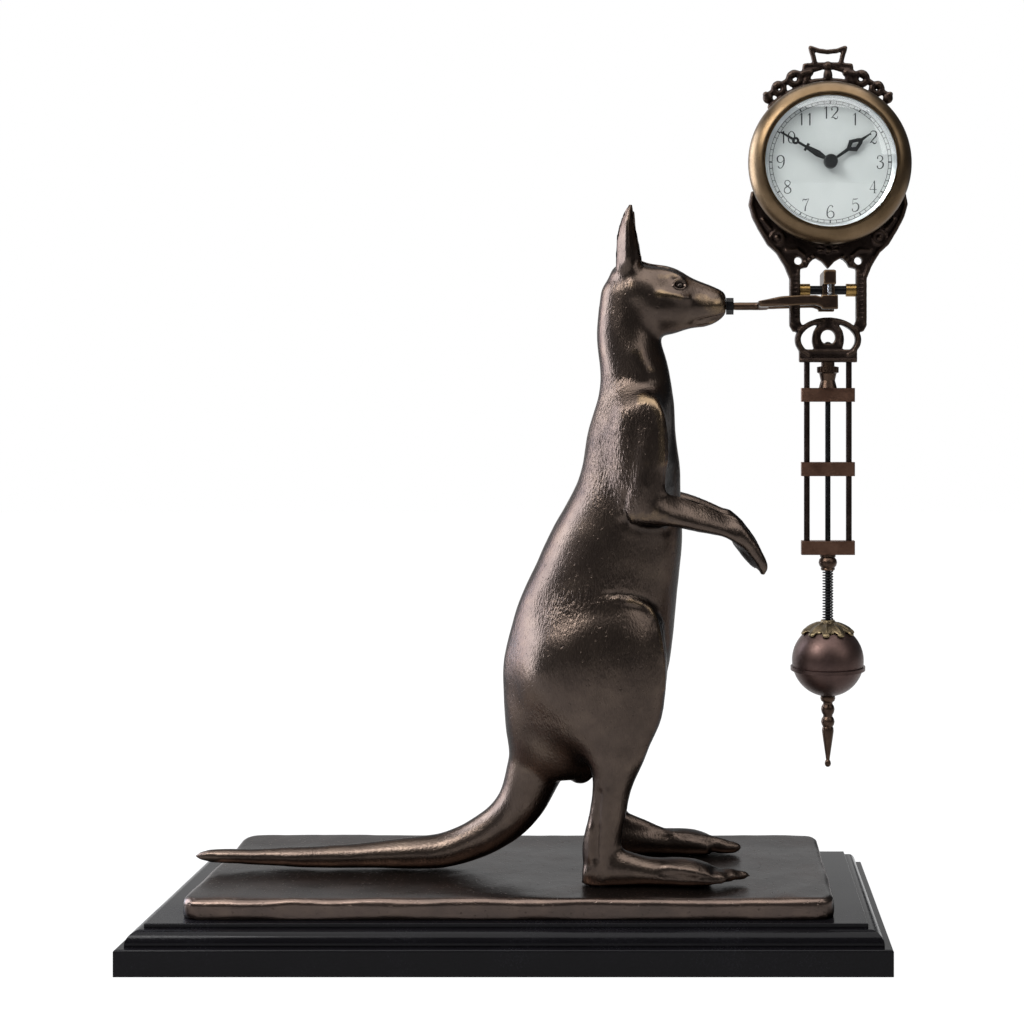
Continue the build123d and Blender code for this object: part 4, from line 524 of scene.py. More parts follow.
# %% Skin over the clay
def outer_shell(mesh):
    """Keeps the island with the most points, and drops closed bubbles inside it."""
    shell = bmesh.new()
    shell.from_mesh(mesh)
    left, islands = set(shell.verts), []
    while left:
        island, edge = set(), [next(iter(left))]
        while edge:
            vert = edge.pop()
            if vert in left:
                left.discard(vert)
                island.add(vert)
                edge.extend(e.other_vert(vert) for e in vert.link_edges)
        islands.append(island)
    islands.sort(key=len, reverse=True)
    for island in islands[1:]:
        bmesh.ops.delete(shell, geom=list(island), context="VERTS")
    shell.to_mesh(mesh)
    shell.free()
    return mesh


def skin_over(clay, name, voxel_mm):
    """One closed mesh over the lump, without what lies inside it."""
    rough = bpy.data.meshes.new(name)
    clay.to_mesh(rough)
    clay.free()
    lump = bpy.data.objects.new(name + ".lump", rough)
    scene.collection.objects.link(lump)
    remesh = lump.modifiers.new("skin", "REMESH")
    remesh.mode = "VOXEL"
    remesh.voxel_size = voxel_mm * MM
    mesh = bpy.data.meshes.new_from_object(lump.evaluated_get(bpy.context.evaluated_depsgraph_get()))
    bpy.data.objects.remove(lump)
    bpy.data.meshes.remove(rough)
    mesh.name = name
    return outer_shell(mesh)


print("helpers for skins: outer_shell, skin_over")

# %% [markdown]
# The points of a skin are then pushed about, as fingers and modelling tools do. They are taken out of
# the mesh as one array in millimetres, moved, and put back. Smoothing pulls each point to the middle
# of its neighbours, and a share for each point says where it works.

# %% Points of a skin
def spots_of(mesh):
    flat = np.empty(len(mesh.vertices) * 3, np.float32)
    mesh.vertices.foreach_get("co", flat)
    return flat.reshape(-1, 3).astype(float) / MM


def put_back(mesh, spots):
    mesh.vertices.foreach_set("co", (spots * MM).astype(np.float32).ravel())
    mesh.update()


def smoothed(mesh, spots, rounds, share=1.0):
    """Moves each point towards the middle of its neighbours; share may differ by point."""
    ends = np.empty(len(mesh.edges) * 2, np.int32)
    mesh.edges.foreach_get("vertices", ends)
    a, b = ends[0::2], ends[1::2]
    total = len(spots)
    count = np.maximum(np.bincount(a, minlength=total) + np.bincount(b, minlength=total), 1)
    spots = spots.copy()
    for k in range(rounds):
        for axis in range(3):
            pull = np.bincount(a, spots[b, axis], total) + np.bincount(b, spots[a, axis], total)
            spots[:, axis] += 0.5 * share * (pull / count - spots[:, axis])
    return spots


def eased(value, low, high):
    """0 below low, 1 above high, and a soft step between them."""
    t = np.clip((value - low) / (high - low), 0, 1)
    return t * t * (3 - 2 * t)


print("helpers for points: spots_of, put_back, smoothed, eased")

# %% [markdown]
# ## The kangaroo: body and head
# The real figure is cast in parts, brazed and chased over the joints, so it looks like one skin. Its
# lump holds the six solids, with the ends of the toes and of the fore paws cut off, because those are
# modelled anew. Eggs fill out the nape, the muzzle, the root of the tail, the brows and the cheeks.

# %% Body and head
FIGURE = ["figure_torso", "figure_tail", "right_leg", "left_leg", "right_arm", "left_arm"]
TOE_CUT = 77.0
WRIST_CUT = 88.0

figure_clay = clay_from("figure_torso", "figure_tail")
for pair, cut_x in ((("right_leg", "left_leg"), TOE_CUT), (("right_arm", "left_arm"), WRIST_CUT)):
    limbs = clay_from(*pair)
    cut = bmesh.ops.bisect_plane(
        limbs, geom=limbs.verts[:] + limbs.edges[:] + limbs.faces[:],
        plane_co=(cut_x * MM, 0, 0), plane_no=(1, 0, 0), clear_outer=True,
    )
    rims = [e for e in cut["geom_cut"] if isinstance(e, bmesh.types.BMEdge)]
    bmesh.ops.holes_fill(limbs, edges=rims)
    stumps = bpy.data.meshes.new("stumps")
    limbs.to_mesh(stumps)
    limbs.free()
    figure_clay.from_mesh(stumps)
    bpy.data.meshes.remove(stumps)
egg(figure_clay, (40.2, 0, 264.6), (4.0, 5.6, 5.6))
egg(figure_clay, (76.0, 0, 252.5), (7.0, 1.7, 1.7))
egg(figure_clay, (24.8, 0, 66.0), (6.2, 8.0, 6.9))
for side in (-1, 1):
    # brow over the eye, cheek, nostril
    egg(figure_clay, (61.6, side * 7.0, 264.0), (6.0, 2.0, 2.2), (0, 18, side * 12))
    egg(figure_clay, (56.0, side * 9.2, 252.0), (8.0, 3.6, 7.0))
    egg(figure_clay, (81.2, side * 3.5, 256.6), (2.0, 1.6, 1.4), (0, 15, 0))
print("points in the lump", len(figure_clay.verts))

# %% [markdown]
# ## The kangaroo: feet and paws
# Each hind foot has three toes, and each toe a knuckle and a short claw, all rolls that taper. The left
# foot's toes are shorter and stouter, and its instep is set higher and knobbly. Each fore paw is the
# back of the hand with the longest finger, and two shorter fingers inside it.

# %% Feet and paws
FOOT_Y = 20.5
TOES = ((1.6, 93.0, 1.8), (-1.6, 88.6, 1.6), (-4.6, 84.6, 1.5))
PAW = [
    (84.0, 17.8, 166.0, 4.0), (88.5, 17.4, 162.4, 3.5), (94.0, 17.0, 155.9, 2.9), (97.4, 16.9, 150.6, 2.4),
    (98.5, 16.9, 148.2, 1.9), (98.4, 16.9, 146.4, 1.2), (97.8, 16.9, 144.8, 0.5),
]
FINGER = [(88.2, 159.0, 2.2), (92.4, 152.6, 1.7), (95.0, 149.0, 1.3), (95.8, 147.2, 0.5)]
KNOBS = ((62.5, 17.6, 32.6, 3.4), (70.0, 16.6, 30.6, 3.0), (76.0, 16.4, 29.6, 2.6))
LEFT_INSTEP = [(42.0, FOOT_Y, 38.4, 3.8), (50.0, FOOT_Y, 35.6, 3.4), (58.5, FOOT_Y, 33.0, 2.4)]

for side in (-1, 1):
    left = side > 0
    stout = 0.7 if left else 0.0
    for inward, reach, size in TOES:
        if left:
            reach, size = reach - 2.4, size + 0.7
        y = side * (FOOT_Y - inward)
        roll(figure_clay, [
            (66.0, side * (FOOT_Y - inward * 0.7), 30.2, size + 1.4),
            (reach - 17.0, y, 29.8, size + 1.0 + stout),
            (reach - 12.0, y, 28.6 + stout, size + 0.2 + stout),
            (reach - 8.6, y, 28.6, size + 0.9),
            (reach - 5.0, y, 27.9, size + 0.3),
            (reach - 3.0, y, 27.6, size * 0.9),
        ])
        roll(figure_clay, [
            (reach - 4.6, y, 29.0, size * 0.7), (reach - 2.0, y, 28.6, size * 0.66),
            (reach - 0.6, y, 27.9, size * 0.5),
        ])
    egg(figure_clay, (70.0, side * 20.2, 31.6), (6.5, 4.2, 2.4), (0, 12, 0))
    for inward in (0.0, 1.6):
        roll(figure_clay, [(x - inward * 0.4, side * (y - inward), z, r) for x, y, z, r in PAW])
    for inward, back in ((3.4, 0.0), (5.4, 1.0)):
        roll(figure_clay, [(x - back, side * (17.2 - inward), z, r) for x, z, r in FINGER])
for x, y, z, size in KNOBS:
    egg(figure_clay, (x, y, z), (size, size * 0.9, size * 0.8))
roll(figure_clay, LEFT_INSTEP)
print("points in the lump", len(figure_clay.verts))

# %% [markdown]
# ## The kangaroo: skin
# Voxels of about a millimetre keep the skin light and still hold the toes. The eyes need more, so the
# faces round them are halved twice. The toes are smoothed less than the rest, or they would melt.

# %% Kangaroo skin
SKIN_VOXEL = 0.95
EYE = Vector((65.2, 8.1, 260.7))
BOTH_EYES = [Vector((EYE.x, side * EYE.y, EYE.z)) for side in (-1, 1)]
kangaroo = skin_over(figure_clay, "kangaroo_skin", SKIN_VOXEL)


def refine(mesh, places, radius_mm):
    """Halves the faces near these places, for detail finer than the voxels."""
    fine = bmesh.new()
    fine.from_mesh(mesh)
    near = [e for e in fine.edges if any((e.verts[0].co / MM - p).length < radius_mm for p in places)]
    bmesh.ops.subdivide_edges(fine, edges=near, cuts=1, use_grid_fill=True)
    fine.to_mesh(mesh)
    fine.free()


spots = spots_of(kangaroo)
toes = eased(spots[:, 0], 64.0, 74.0) * (1 - eased(spots[:, 2], 36.0, 42.0))
spots = smoothed(kangaroo, spots, 5, 1 - 0.6 * toes)
put_back(kangaroo, spots)
refine(kangaroo, BOTH_EYES, 8.0)
refine(kangaroo, BOTH_EYES, 5.5)
spots = smoothed(kangaroo, spots_of(kangaroo), 2)
put_back(kangaroo, spots)
print("skin points", len(kangaroo.vertices))

# %% [markdown]
# ## The kangaroo: joints that vanish
# On the real casting the joints are chased away. Along the back of each haunch and arm the skin is
# relaxed for many rounds until no seam is left. Lines are written as X and Z, as drawn on the side
# view, and work on both flanks; reach says how far from the middle plane a tool begins to bite.

# %% Joints that vanish
HAUNCH_BACK = [
    (36.0, 141.5), (28.0, 141.0), (17.5, 135.0), (7.0, 124.5),
    (1.7, 110.0), (3.5, 97.0), (12.0, 86.0), (22.0, 78.0),
]
ARM_BACK = [(51.0, 221.0), (45.0, 217.0), (43.2, 209.0), (43.4, 197.0), (43.2, 186.0)]


def from_line(spots, line):
    """Distance of each point from a line of X, Z corners, seen from the side."""
    flat = spots[:, [0, 2]]
    best = np.full(len(spots), 1e9)
    for first, last in zip(line, line[1:]):
        start, along = np.array(first, float), np.array(last, float) - np.array(first, float)
        t = np.clip(((flat - start) @ along) / (along @ along), 0, 1)
        best = np.minimum(best, np.linalg.norm(flat - start - t[:, None] * along, axis=1))
    return best


def zone(line, width):
    """1 on the line, fading to nothing over about twice the width."""
    return np.exp(-((from_line(spots, line) / width) ** 2))


def relax(line, width, rounds, reach):
    """Smooths the skin of both flanks along a line until the joint there is gone."""
    share = zone(line, width) * eased(np.abs(spots[:, 1]), *reach)
    spots[:] = smoothed(kangaroo, spots, rounds, share)
    put_back(kangaroo, spots)


relax(HAUNCH_BACK, 8.0, 240, (6.0, 11.0))
relax(ARM_BACK, 5.0, 120, (6.0, 10.0))
print("haunches and arms run into the body")

# %% [markdown]
# ## The kangaroo: shoulders
# Behind the arm the back is a plane that faces backwards and takes the light. At the arm it turns into
# a flat side. The skin is pulled out to that plane where it lies below it, and the turn is smoothed.

# %% Shoulders
SPINE = [(24.5, 176.0), (26.9, 190.0), (28.5, 200.0), (32.0, 212.0), (34.5, 220.0)]
SHOULDER_TURN = [(43.0, 176.0), (41.4, 190.0), (41.2, 212.0), (43.0, 220.0)]
FLAT_SIDE = [
    (23.5, 172.0), (24.4, 182.0), (24.4, 192.0), (24.3, 202.0), (23.7, 210.0), (22.4, 214.0), (16.5, 219.0)
]
ARM_MIDDLE = [(50.0, 212.0), (50.0, 182.0)]
SPINE_HALF = 5.0


def at_height(line):
    """The line's first value at each point's height."""
    return np.interp(spots[:, 2], [z for value, z in line], [value for value, z in line])


behind = spots[:, 0] - at_height(SPINE)
before = spots[:, 0] - at_height(SHOULDER_TURN)
side_y = at_height(FLAT_SIDE)
plane = SPINE_HALF + (side_y - SPINE_HALF) * behind / (behind - before)
level = np.minimum(np.maximum(plane, 0), side_y + 0.06 * before)
share = eased(behind, 0.0, 4.0) * (1 - eased(spots[:, 0], 58.5, 62.0))
share *= eased(np.abs(spots[:, 1]), 2.0, 6.0)
share *= eased(spots[:, 2], 156.0, 184.0) * (1 - eased(spots[:, 2], 213.0, 221.0))
missing = np.maximum(level - np.abs(spots[:, 1]), 0)
spots[:, 1] += np.sign(spots[:, 1]) * 0.9 * share * missing
spots[:] = smoothed(kangaroo, spots, 12, zone(ARM_MIDDLE, 18.0))
spots[:] = smoothed(kangaroo, spots, 40, zone(SHOULDER_TURN, 5.0))
put_back(kangaroo, spots)
print("shoulder pulled out by up to", round(float((share * missing).max()), 1), "mm")

# %% [markdown]
# ## The kangaroo: creases of the body
# A modelling tool presses grooves and, with a minus, raises ridges along lines: the crest in front of
# the haunch, the gap between the toes, the edge of the arm, the muscle of the neck, the elbow. None
# is much deeper than a millimetre, which is enough to draw a line of light and shade.

# %% Creases of the body
HAUNCH_FRONT = [
    (36.0, 137.8), (42.0, 138.0), (49.8, 136.2), (54.5, 133.2),
    (57.6, 128.0), (59.2, 120.0), (60.4, 112.0), (60.8, 103.0),
]
HAUNCH_CREST = [(46.0, 136.4), (52.0, 134.2), (56.0, 130.8)]
ARM_FRONT = [(58.4, 217.0), (59.8, 212.0), (60.8, 203.0), (60.9, 194.0), (60.4, 182.0)]
SHOULDER_RIDGE = [(51.0, 216.0), (54.4, 214.0), (57.6, 209.5), (59.2, 202.0), (59.4, 190.0)]
NAPE = [(37.8, 271.0), (39.6, 263.0)]
NECK_MUSCLE = [(48.5, 233.0), (52.5, 226.0)]
NECK_HOLLOW = [(43.0, 222.5), (50.5, 220.5)]
RUMP_FOLD = [(-3.0, 97.0), (6.0, 92.5), (16.0, 90.5)]
ARM_UNDER = [(43.5, 166.6), (50.0, 163.8), (60.0, 163.0), (66.5, 161.4)]
ELBOW = [(44.2, 177.5), (43.4, 171.5), (45.0, 167.0)]
TOE_GAP = [(74.0, 29.6), (80.0, 28.4), (87.0, 27.8)]
INSTEP = [(60.0, 33.4), (72.0, 31.6)]
FOOT_EDGE = [(58.0, 30.6), (72.0, 29.2)]
FLANK, NECK, LIMB, FOOT = (5.0, 8.0), (3.0, 5.0), (12.0, 15.0), (18.0, 21.0)


def normals_of(mesh):
    flat = np.empty(len(mesh.vertices) * 3, np.float32)
    mesh.vertex_normals.foreach_get("vector", flat)
    return flat.reshape(-1, 3).astype(float)


def shifted(line, by_x, by_z):
    return [(x + by_x, z + by_z) for x, z in line]


def press(line, width, depth, reach=FLANK):
    """Presses a groove (or with a minus, raises a ridge) along a line on both flanks."""
    normals = normals_of(kangaroo)
    flank = eased(np.abs(normals[:, 1]), 0.1, 0.5) * eased(np.abs(spots[:, 1]), *reach)
    spots[:] = spots - normals * (depth * zone(line, width) * flank)[:, None]
    put_back(kangaroo, spots)


relax(ARM_FRONT, 4.5, 40, (7.0, 11.0))
relax(HAUNCH_FRONT[:3], 4.0, 30, (6.0, 11.0))
relax(HAUNCH_FRONT[4:], 2.5, 15, (6.0, 11.0))
relax(NAPE, 5.0, 40, (-1.0, 0.0))
press(shifted(HAUNCH_FRONT, 0.3, 0.9), 0.9, 0.8)
press(shifted(HAUNCH_FRONT[1:], -1.0, -1.3), 1.5, -0.55)
press(HAUNCH_CREST, 1.4, -0.6)
press(TOE_GAP, 0.9, 0.7, FOOT)
press(INSTEP, 1.2, -0.5, FOOT)
press(FOOT_EDGE, 1.2, 0.5, FOOT)
press(ARM_FRONT, 1.6, 0.7)
press(SHOULDER_RIDGE, 2.6, -0.8)
press(NECK_MUSCLE, 4.6, -1.2, NECK)
press(NECK_HOLLOW, 4.0, 0.4, NECK)
press(RUMP_FOLD, 3.4, 0.12)
press(ARM_UNDER, 1.6, 0.55, LIMB)
press(ELBOW, 1.0, 0.8, LIMB)
press(shifted(ELBOW, 1.8, 0.4), 1.3, -0.5, LIMB)
print("body creases pressed")

# %% [markdown]
# ## The kangaroo: leaning sides
# The outside of each forearm and the upper half of the head's sides lean inwards, so they face up and
# take the light from above. Upright sides would stay dark.

# %% Leaning sides
above = spots[:, 2] - np.interp(spots[:, 0], (50.0, 69.0, 86.0), (170.6, 169.0, 163.0))
outside = np.sign(spots[:, 1]) * normals_of(kangaroo)[:, 1]
lean = eased(spots[:, 0], 55.0, 67.0) * (1 - eased(spots[:, 0], 84.0, 92.0))
lean *= (1 - eased(above, 6.0, 9.0)) * (above > -9.0)
lean *= eased(outside, -0.2, 0.3) * eased(np.abs(spots[:, 1]), 14.0, 17.0)
spots[:, 1] -= np.sign(spots[:, 1]) * 0.5 * lean * np.clip(above + 3.5, 0, 8.0)
spots[:] = smoothed(kangaroo, spots, 14, lean)

over = spots[:, 2] - np.interp(spots[:, 0], (50.0, 66.0, 84.0), (256.5, 254.5, 251.0))
snout = eased(spots[:, 0], 52.0, 62.0) * (spots[:, 2] > 240.0)
spots[:, 1] *= 1 - 0.2 * snout * eased(over, -5.0, 8.0)
put_back(kangaroo, spots)
print("points that lean", int((lean > 0.5).sum()), "on the arms,", int((snout > 0.5).sum()), "on the head")

# %% [markdown]
# ## The kangaroo: shanks and face
# The tendon stands out behind each shank, with a groove before it. The face is mostly flat planes: a
# cheekbone under the eye, a hollow behind the lips, a long closed mouth and a soft jaw.

# %% Shanks and face
TENDON = [(34.2, 62.0), (33.2, 48.0), (32.6, 36.0)]
THROAT = [(52.0, 246.0), (60.0, 243.0), (70.0, 246.0)]
MUZZLE_SIDE = [(58.0, 253.0), (80.0, 250.0)]
MOUTH = [(83.4, 248.3), (77.5, 247.2), (72.4, 245.8)]
CHEEKBONE = [(57.0, 256.8), (62.4, 256.1), (68.0, 254.9)]
LIP_HOLLOW = [(68.6, 253.0), (68.0, 247.0)]
UPPER_LIP = [(74.0, 252.6), (79.0, 252.6)]
JAW = [(56.0, 240.4), (64.0, 241.8), (72.0, 243.4)]
BELLY_FOLD = [(20.0, 77.0), (29.0, 76.6), (36.0, 80.5)]
SHANK, SNOUT, LIPS = (13.0, 16.0), (2.0, 4.0), (1.5, 3.0)

press(TENDON, 1.2, 0.8, SHANK)
press(TENDON[1:], 1.2, 0.5, SHANK)
press(shifted(TENDON[1:], -2.2, 0.0), 1.2, -0.6, SHANK)
press(shifted(TENDON, 3.0, 0.0), 2.0, -0.5, SHANK)
relax(THROAT, 5.0, 60, SNOUT)
relax(MUZZLE_SIDE, 4.0, 30, SNOUT)
press(MOUTH, 0.8, 1.1, LIPS)
press(shifted(MOUTH[:2], 0.0, -1.7), 1.0, -0.4, LIPS)
press(CHEEKBONE, 1.7, -0.9, SNOUT)
press(LIP_HOLLOW, 2.0, 0.6, SNOUT)
press(UPPER_LIP, 2.6, -0.4, SNOUT)
press(JAW, 2.8, 0.2)
press(BELLY_FOLD, 4.0, 0.3, (12.0, 16.0))
spots[:] = smoothed(kangaroo, spots, 1)
put_back(kangaroo, spots)
print("shanks and face pressed")

# %% [markdown]
# ## The kangaroo: ears and eyes
# An ear is folded along its middle: its back half turns to the light, and its front half lies in
# shade. The eye is an almond between two lids, a ridge round it that is stronger above, with a dip
# inside. The nostril is one small dent.

# %% Ears and eyes
EAR_Z = (265.0, 275.0, 284.0, 290.5, 293.5)
EAR_X = (43.9, 44.1, 44.1, 45.0, 46.0)
EAR_HALF = (5.0, 5.1, 3.4, 1.8, 0.8)
EYE_TILT = math.radians(24)
EYE_HALF = (2.3, 1.8)
NOSTRIL = (82.9, 3.8, 256.4)

normals = normals_of(kangaroo)
for side in (-1, 1):
    ear = eased(spots[:, 2], 266.0, 271.0) * (normals[:, 1] * side > 0.0) * (spots[:, 1] * side > 3.5)
    ear_half = np.interp(spots[:, 2], EAR_Z, EAR_HALF)
    across_ear = (spots[:, 0] - np.interp(spots[:, 2], EAR_Z, EAR_X)) / ear_half
    fold = 1.6 * np.exp(-(((across_ear - 0.1) / 0.3) ** 2))
    fold = fold - 1.8 * eased(across_ear, 0.25, 0.6) - 1.7 * eased(-across_ear, 0.0, 1.0)
    spots[:, 1] += side * fold * ear * (1 - eased(spots[:, 2], 287.0, 293.0))

    out = Vector((0.12, side * 0.9, 0.42)).normalized()
    along = Vector((math.cos(EYE_TILT), 0, math.sin(EYE_TILT)))
    along = (along - out * along.dot(out)).normalized()
    across = out.cross(along) * -side
    away = spots - np.array((EYE.x, side * EYE.y, EYE.z))
    ring = np.hypot(away @ np.array(along) / EYE_HALF[0], away @ np.array(across) / EYE_HALF[1])
    near = 1 - eased(np.linalg.norm(away, axis=1), 5.0, 7.0)
    upper = 0.6 + 0.5 * eased(away @ np.array(across), -0.5, 0.5)
    lid = 0.6 * upper * np.exp(-(((ring - 1.1) / 0.25) ** 2)) - 0.6 * np.exp(-((ring / 0.8) ** 4))
    spots += np.array(out) * (lid * near)[:, None]
    from_nostril = np.linalg.norm(spots - np.array(NOSTRIL) * (1, side, 1), axis=1)
    spots -= normals * (0.8 * np.exp(-((from_nostril / 0.9) ** 2)))[:, None]
put_back(kangaroo, spots)
print("highest point of the ears", round(float(spots[:, 2].max()), 1), "mm")

# %% [markdown]
# ## Wear and finished pieces
# Wear follows height: what stands out of the smoothed shape is rubbed, and what lies below it keeps
# its grime. That is measured once and stored on the mesh for the finishes. Every finished piece rides
# on a body of the model and hides the solids that it stands for.

# %% Wear and finished pieces
def mark_relief(mesh, spots, rounds, full_mm, share=1.0, painted_shade_and_gold=0.0):
    """Stores how far each point stands out of the smoothed shape: 0.5 is level. The last argument lowers it
    as painted shade, and with a minus raises it to gold as wear and painted highlight.
    """
    mesh.update()
    high = ((spots - smoothed(mesh, spots, rounds)) * normals_of(mesh)).sum(1)
    value = np.clip(0.5 + 0.5 * share * high / full_mm - painted_shade_and_gold, 0, 1)
    attribute = mesh.attributes.new("relief", "FLOAT", "POINT")
    attribute.data.foreach_set("value", value.astype(np.float32))


def piece(mesh, material, body, slot, *stands_for):
    """A finished piece: its object rides on a body and stands for its solids."""
    made = bpy.data.objects.new(mesh.name, mesh)
    scene.collection.objects.link(made)
    mesh.materials.clear()
    mesh.materials.append(material)
    mesh.shade_smooth()
    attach(made, body)
    if stands_for:
        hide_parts(*stands_for)
    print(mesh.name, "faces", len(mesh.polygons))


# %% [markdown]
# ## The kangaroo: fur and wear
# The chased fur is strongest behind the shoulder, at the elbow, over the haunch and on the rump, and
# nearly gone on the face. It is a shallow swell in the mesh, and the finish adds the finer strokes.
# Edges that no hand reaches are kept from looking rubbed. Brow, cheek, muzzle and the shoulder's ridge
# get some more gold, partly as the wear of the real figure and partly as painted highlight.

# %% Fur and wear
FUR = (
    ([(38.0, 216.0), (37.0, 200.0), (36.0, 184.0)], 9.0),
    ([(42.0, 186.0), (45.0, 172.0)], 5.0),
    ([(14.0, 132.0), (30.0, 139.0), (46.0, 141.0)], 5.0),
    ([(10.0, 90.0), (20.0, 91.0)], 5.0),
)
RUBBED_AND_HIGHLIT_FACE = (
    ([(58.0, 264.0), (63.5, 263.6)], 3.0),
    ([(57.0, 256.6), (65.0, 255.4)], 2.4),
    ([(73.0, 255.6), (80.0, 252.8)], 3.0),
)
LEVEL_FUR = 0.25


def lumps(spots, size_mm, seed):
    """Smooth noise of about this size, one number from -1 to 1 for each point."""
    shift = Vector((seed * 17.3, seed * 5.1, seed * 9.7))
    return np.array([noise.noise(Vector(s) / size_mm + shift) for s in spots])


face = eased(spots[:, 2], 236.0, 244.0) * eased(spots[:, 0], 46.0, 54.0)
fur = np.clip(LEVEL_FUR + sum(zone(line, width) for line, width in FUR), 0, 1) * (1 - 0.8 * face)
swell = lumps(spots * np.array((1, 1, 0.35)), 1.9, 1) * 0.07 * fur
swell += lumps(spots, 8.0, 2) * 0.12 * (1 - 0.7 * face)
spots += normals_of(kangaroo) * swell[:, None]
put_back(kangaroo, spots)

belly_height = eased(spots[:, 2], 138.0, 142.0) * (1 - eased(spots[:, 2], 180.0, 186.0))
unrubbed = np.maximum.reduce([
    eased(spots[:, 2], 262.0, 268.0),
    0.45 * face,
    0.8 * (1 - eased(spots[:, 2], 60.0, 84.0)),
    zone(SHOULDER_TURN, 6.0),
    0.8 * zone(ARM_FRONT, 4.0),
    0.9 * eased(spots[:, 0], 60.0, 68.0) * belly_height,
])
# brow, cheek, muzzle and shoulder ridge: extra gold that is partly wear, partly painted highlight
rubbed_and_highlit = 0.16 * face * sum(zone(line, width) for line, width in RUBBED_AND_HIGHLIT_FACE)
rubbed_and_highlit += 0.13 * zone(SHOULDER_RIDGE, 4.0)
mark_relief(kangaroo, spots, 30, 1.3, 1 - 0.85 * unrubbed, -rubbed_and_highlit)
kangaroo.attributes.new("fur", "FLOAT", "POINT").data.foreach_set("value", fur.astype(np.float32))
piece(kangaroo, bronze_skin, "stand", "patinated_bronze", *FIGURE)

# %% [markdown]
# ## The kangaroo: eyeballs
# Behind the lids sits a ball of the same bronze. It carries no fur and is rounder than the dip it fills,
# so it catches one small spark of light that makes the eye look alive.

# %% Eyeballs
EYE_SET = Vector((0.1, 1.5, 0.6))
for side, name in ((-1, "eye_right"), (1, "eye_left")):
    globe = bmesh.new()
    middle = (EYE.x - EYE_SET.x, side * (EYE.y - EYE_SET.y), EYE.z - EYE_SET.z)
    egg(globe, middle, (1.7, 1.6, 1.45), (0, -math.degrees(EYE_TILT), 0))
    mesh = bpy.data.meshes.new(name)
    globe.to_mesh(mesh)
    globe.free()
    piece(mesh, bronze_skin, "stand", "patinated_bronze")

# %% [markdown]
# ## The ground plate
# The bronze ground is cast from a hand-smeared slab: its top dips and rises by half a millimetre or
# so, and its edges are not straight. A remeshed copy of the solid takes that unevenness. Its sides
# are painted darker than its top, as painted shade.

# %% Ground plate
ground = skin_over(clay_from("ground_plate"), "ground_casting", 1.0)
low, high = (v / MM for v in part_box("ground_plate"))
spots = spots_of(ground)
normals = normals_of(ground)
top = eased(spots[:, 2], high.z - 3.0, high.z - 0.5)
from_back = high.y - spots[:, 1]
from_ends = np.minimum(high.x - spots[:, 0], spots[:, 0] - low.x)
edge = 1 - eased(np.minimum(from_ends, spots[:, 1] - low.y), 0.0, 6.0)
flat = np.column_stack([spots[:, 0], spots[:, 1], np.zeros(len(spots))])
swell = lumps(flat, 38.0, 3) * 0.4 + lumps(flat, 13.0, 4) * 0.2 + lumps(flat, 4.0, 5) * 0.06
rise = 0.9 * (1 - eased(from_back, 0.0, 20.0))
spots[:, 2] += top * (swell - 0.15 + rise - 0.6 * edge * (lumps(flat, 17.0, 6) + 0.3))
wobble = lumps(spots, 24.0, 7) * 0.7 + lumps(spots, 6.0, 8) * 0.18
side_share = 1 - np.abs(normals[:, 2])
spots += normals * (wobble * side_share * eased(spots[:, 2], low.z + 0.2, low.z + 2.5))[:, None]
spots[:, 2] = np.maximum(spots[:, 2], low.z)
spots = smoothed(ground, spots, 2)
put_back(ground, spots)
# painted shade: the upright sides are darkened by lowering their relief value
mark_relief(ground, spots, 25, 2.2, 0.45, 0.17 * side_share)
piece(ground, bronze_ground, "stand", "patinated_bronze", "ground_plate")

# %% [markdown]
# ## The cast clock frame
# The frame is a flat brass casting with relief: rolled edges, rosettes at the shoulders, a fan under
# the case, ribbed legs, and scrolls round the lower ring. Rolls and eggs laid on a copy of the
# solid, front and back alike, become that relief in the remesh.

# %% Places on the clock
pin_low, pin_high = (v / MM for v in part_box("pivot_pins"))
PIVOT = Vector(((pin_low.x + pin_high.x) / 2, 0, pin_low.z))
dial_low, dial_high = (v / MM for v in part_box("dial"))
CASE = Vector((PIVOT.x, 0, (dial_low.z + dial_high.z) / 2))
FRAME_FACE = -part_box("clock_frame")[0].y / MM


def hung(points, origin, depth, radius):
    """Spots in the frame's own X and Z become places in the scene."""
    return [(origin.x + x, depth, origin.z + z, radius) for x, z in points]


def circle(x, z, radius, count=12):
    turn = [2 * math.pi * k / count for k in range(count)]
    return [(x + radius * math.cos(t), z + radius * math.sin(t)) for t in turn]


print("pivot", [round(v, 2) for v in PIVOT], "case", [round(v, 2) for v in CASE])

# %% [markdown]
# The lines are written once for the right half, in millimetres from the pivot, and mirrored. Seven eggs
# in a half circle make the fan, and the ribs of the legs are short rolls one above the other.

# %% Frame lump
OUTER_EDGE = [
    (30.4, 41.5), (31.0, 37.6), (29.6, 33.0), (27.2, 28.4), (23.4, 22.4), (19.6, 18.2), (16.0, 12.6),
    (14.6, 8.0), (14.7, 0.0), (14.6, -10.0),
]
INNER_EDGE = [(12.1, 11.0), (12.1, 0.0), (12.1, -9.0)]
RIBS = [[(11.8, 9.0 - 1.7 * k), (15.0, 9.0 - 1.7 * k)] for k in range(11)]
ROSETTE = (20.6, 24.4)
SHOULDER_BAR = [(26.4, 31.6), (23.6, 28.2)]
ARCH = [(17.0, 19.2), (12.6, 19.6), (9.6, 17.2)]
BEADS = [(10.4 - 1.5 * k, 13.6 + 1.0 * k) for k in range(4)]
RING_OUTSIDE = [(2.0, -9.4), (7.0, -9.9), (11.4, -12.8), (12.2, -17.0), (10.6, -21.4), (8.0, -23.0)]
RING_INSIDE = [(2.0, -10.2), (5.2, -13.4), (4.7, -18.0)]
FAN_Z = 19.4
FAN_RADIUS = 2.9

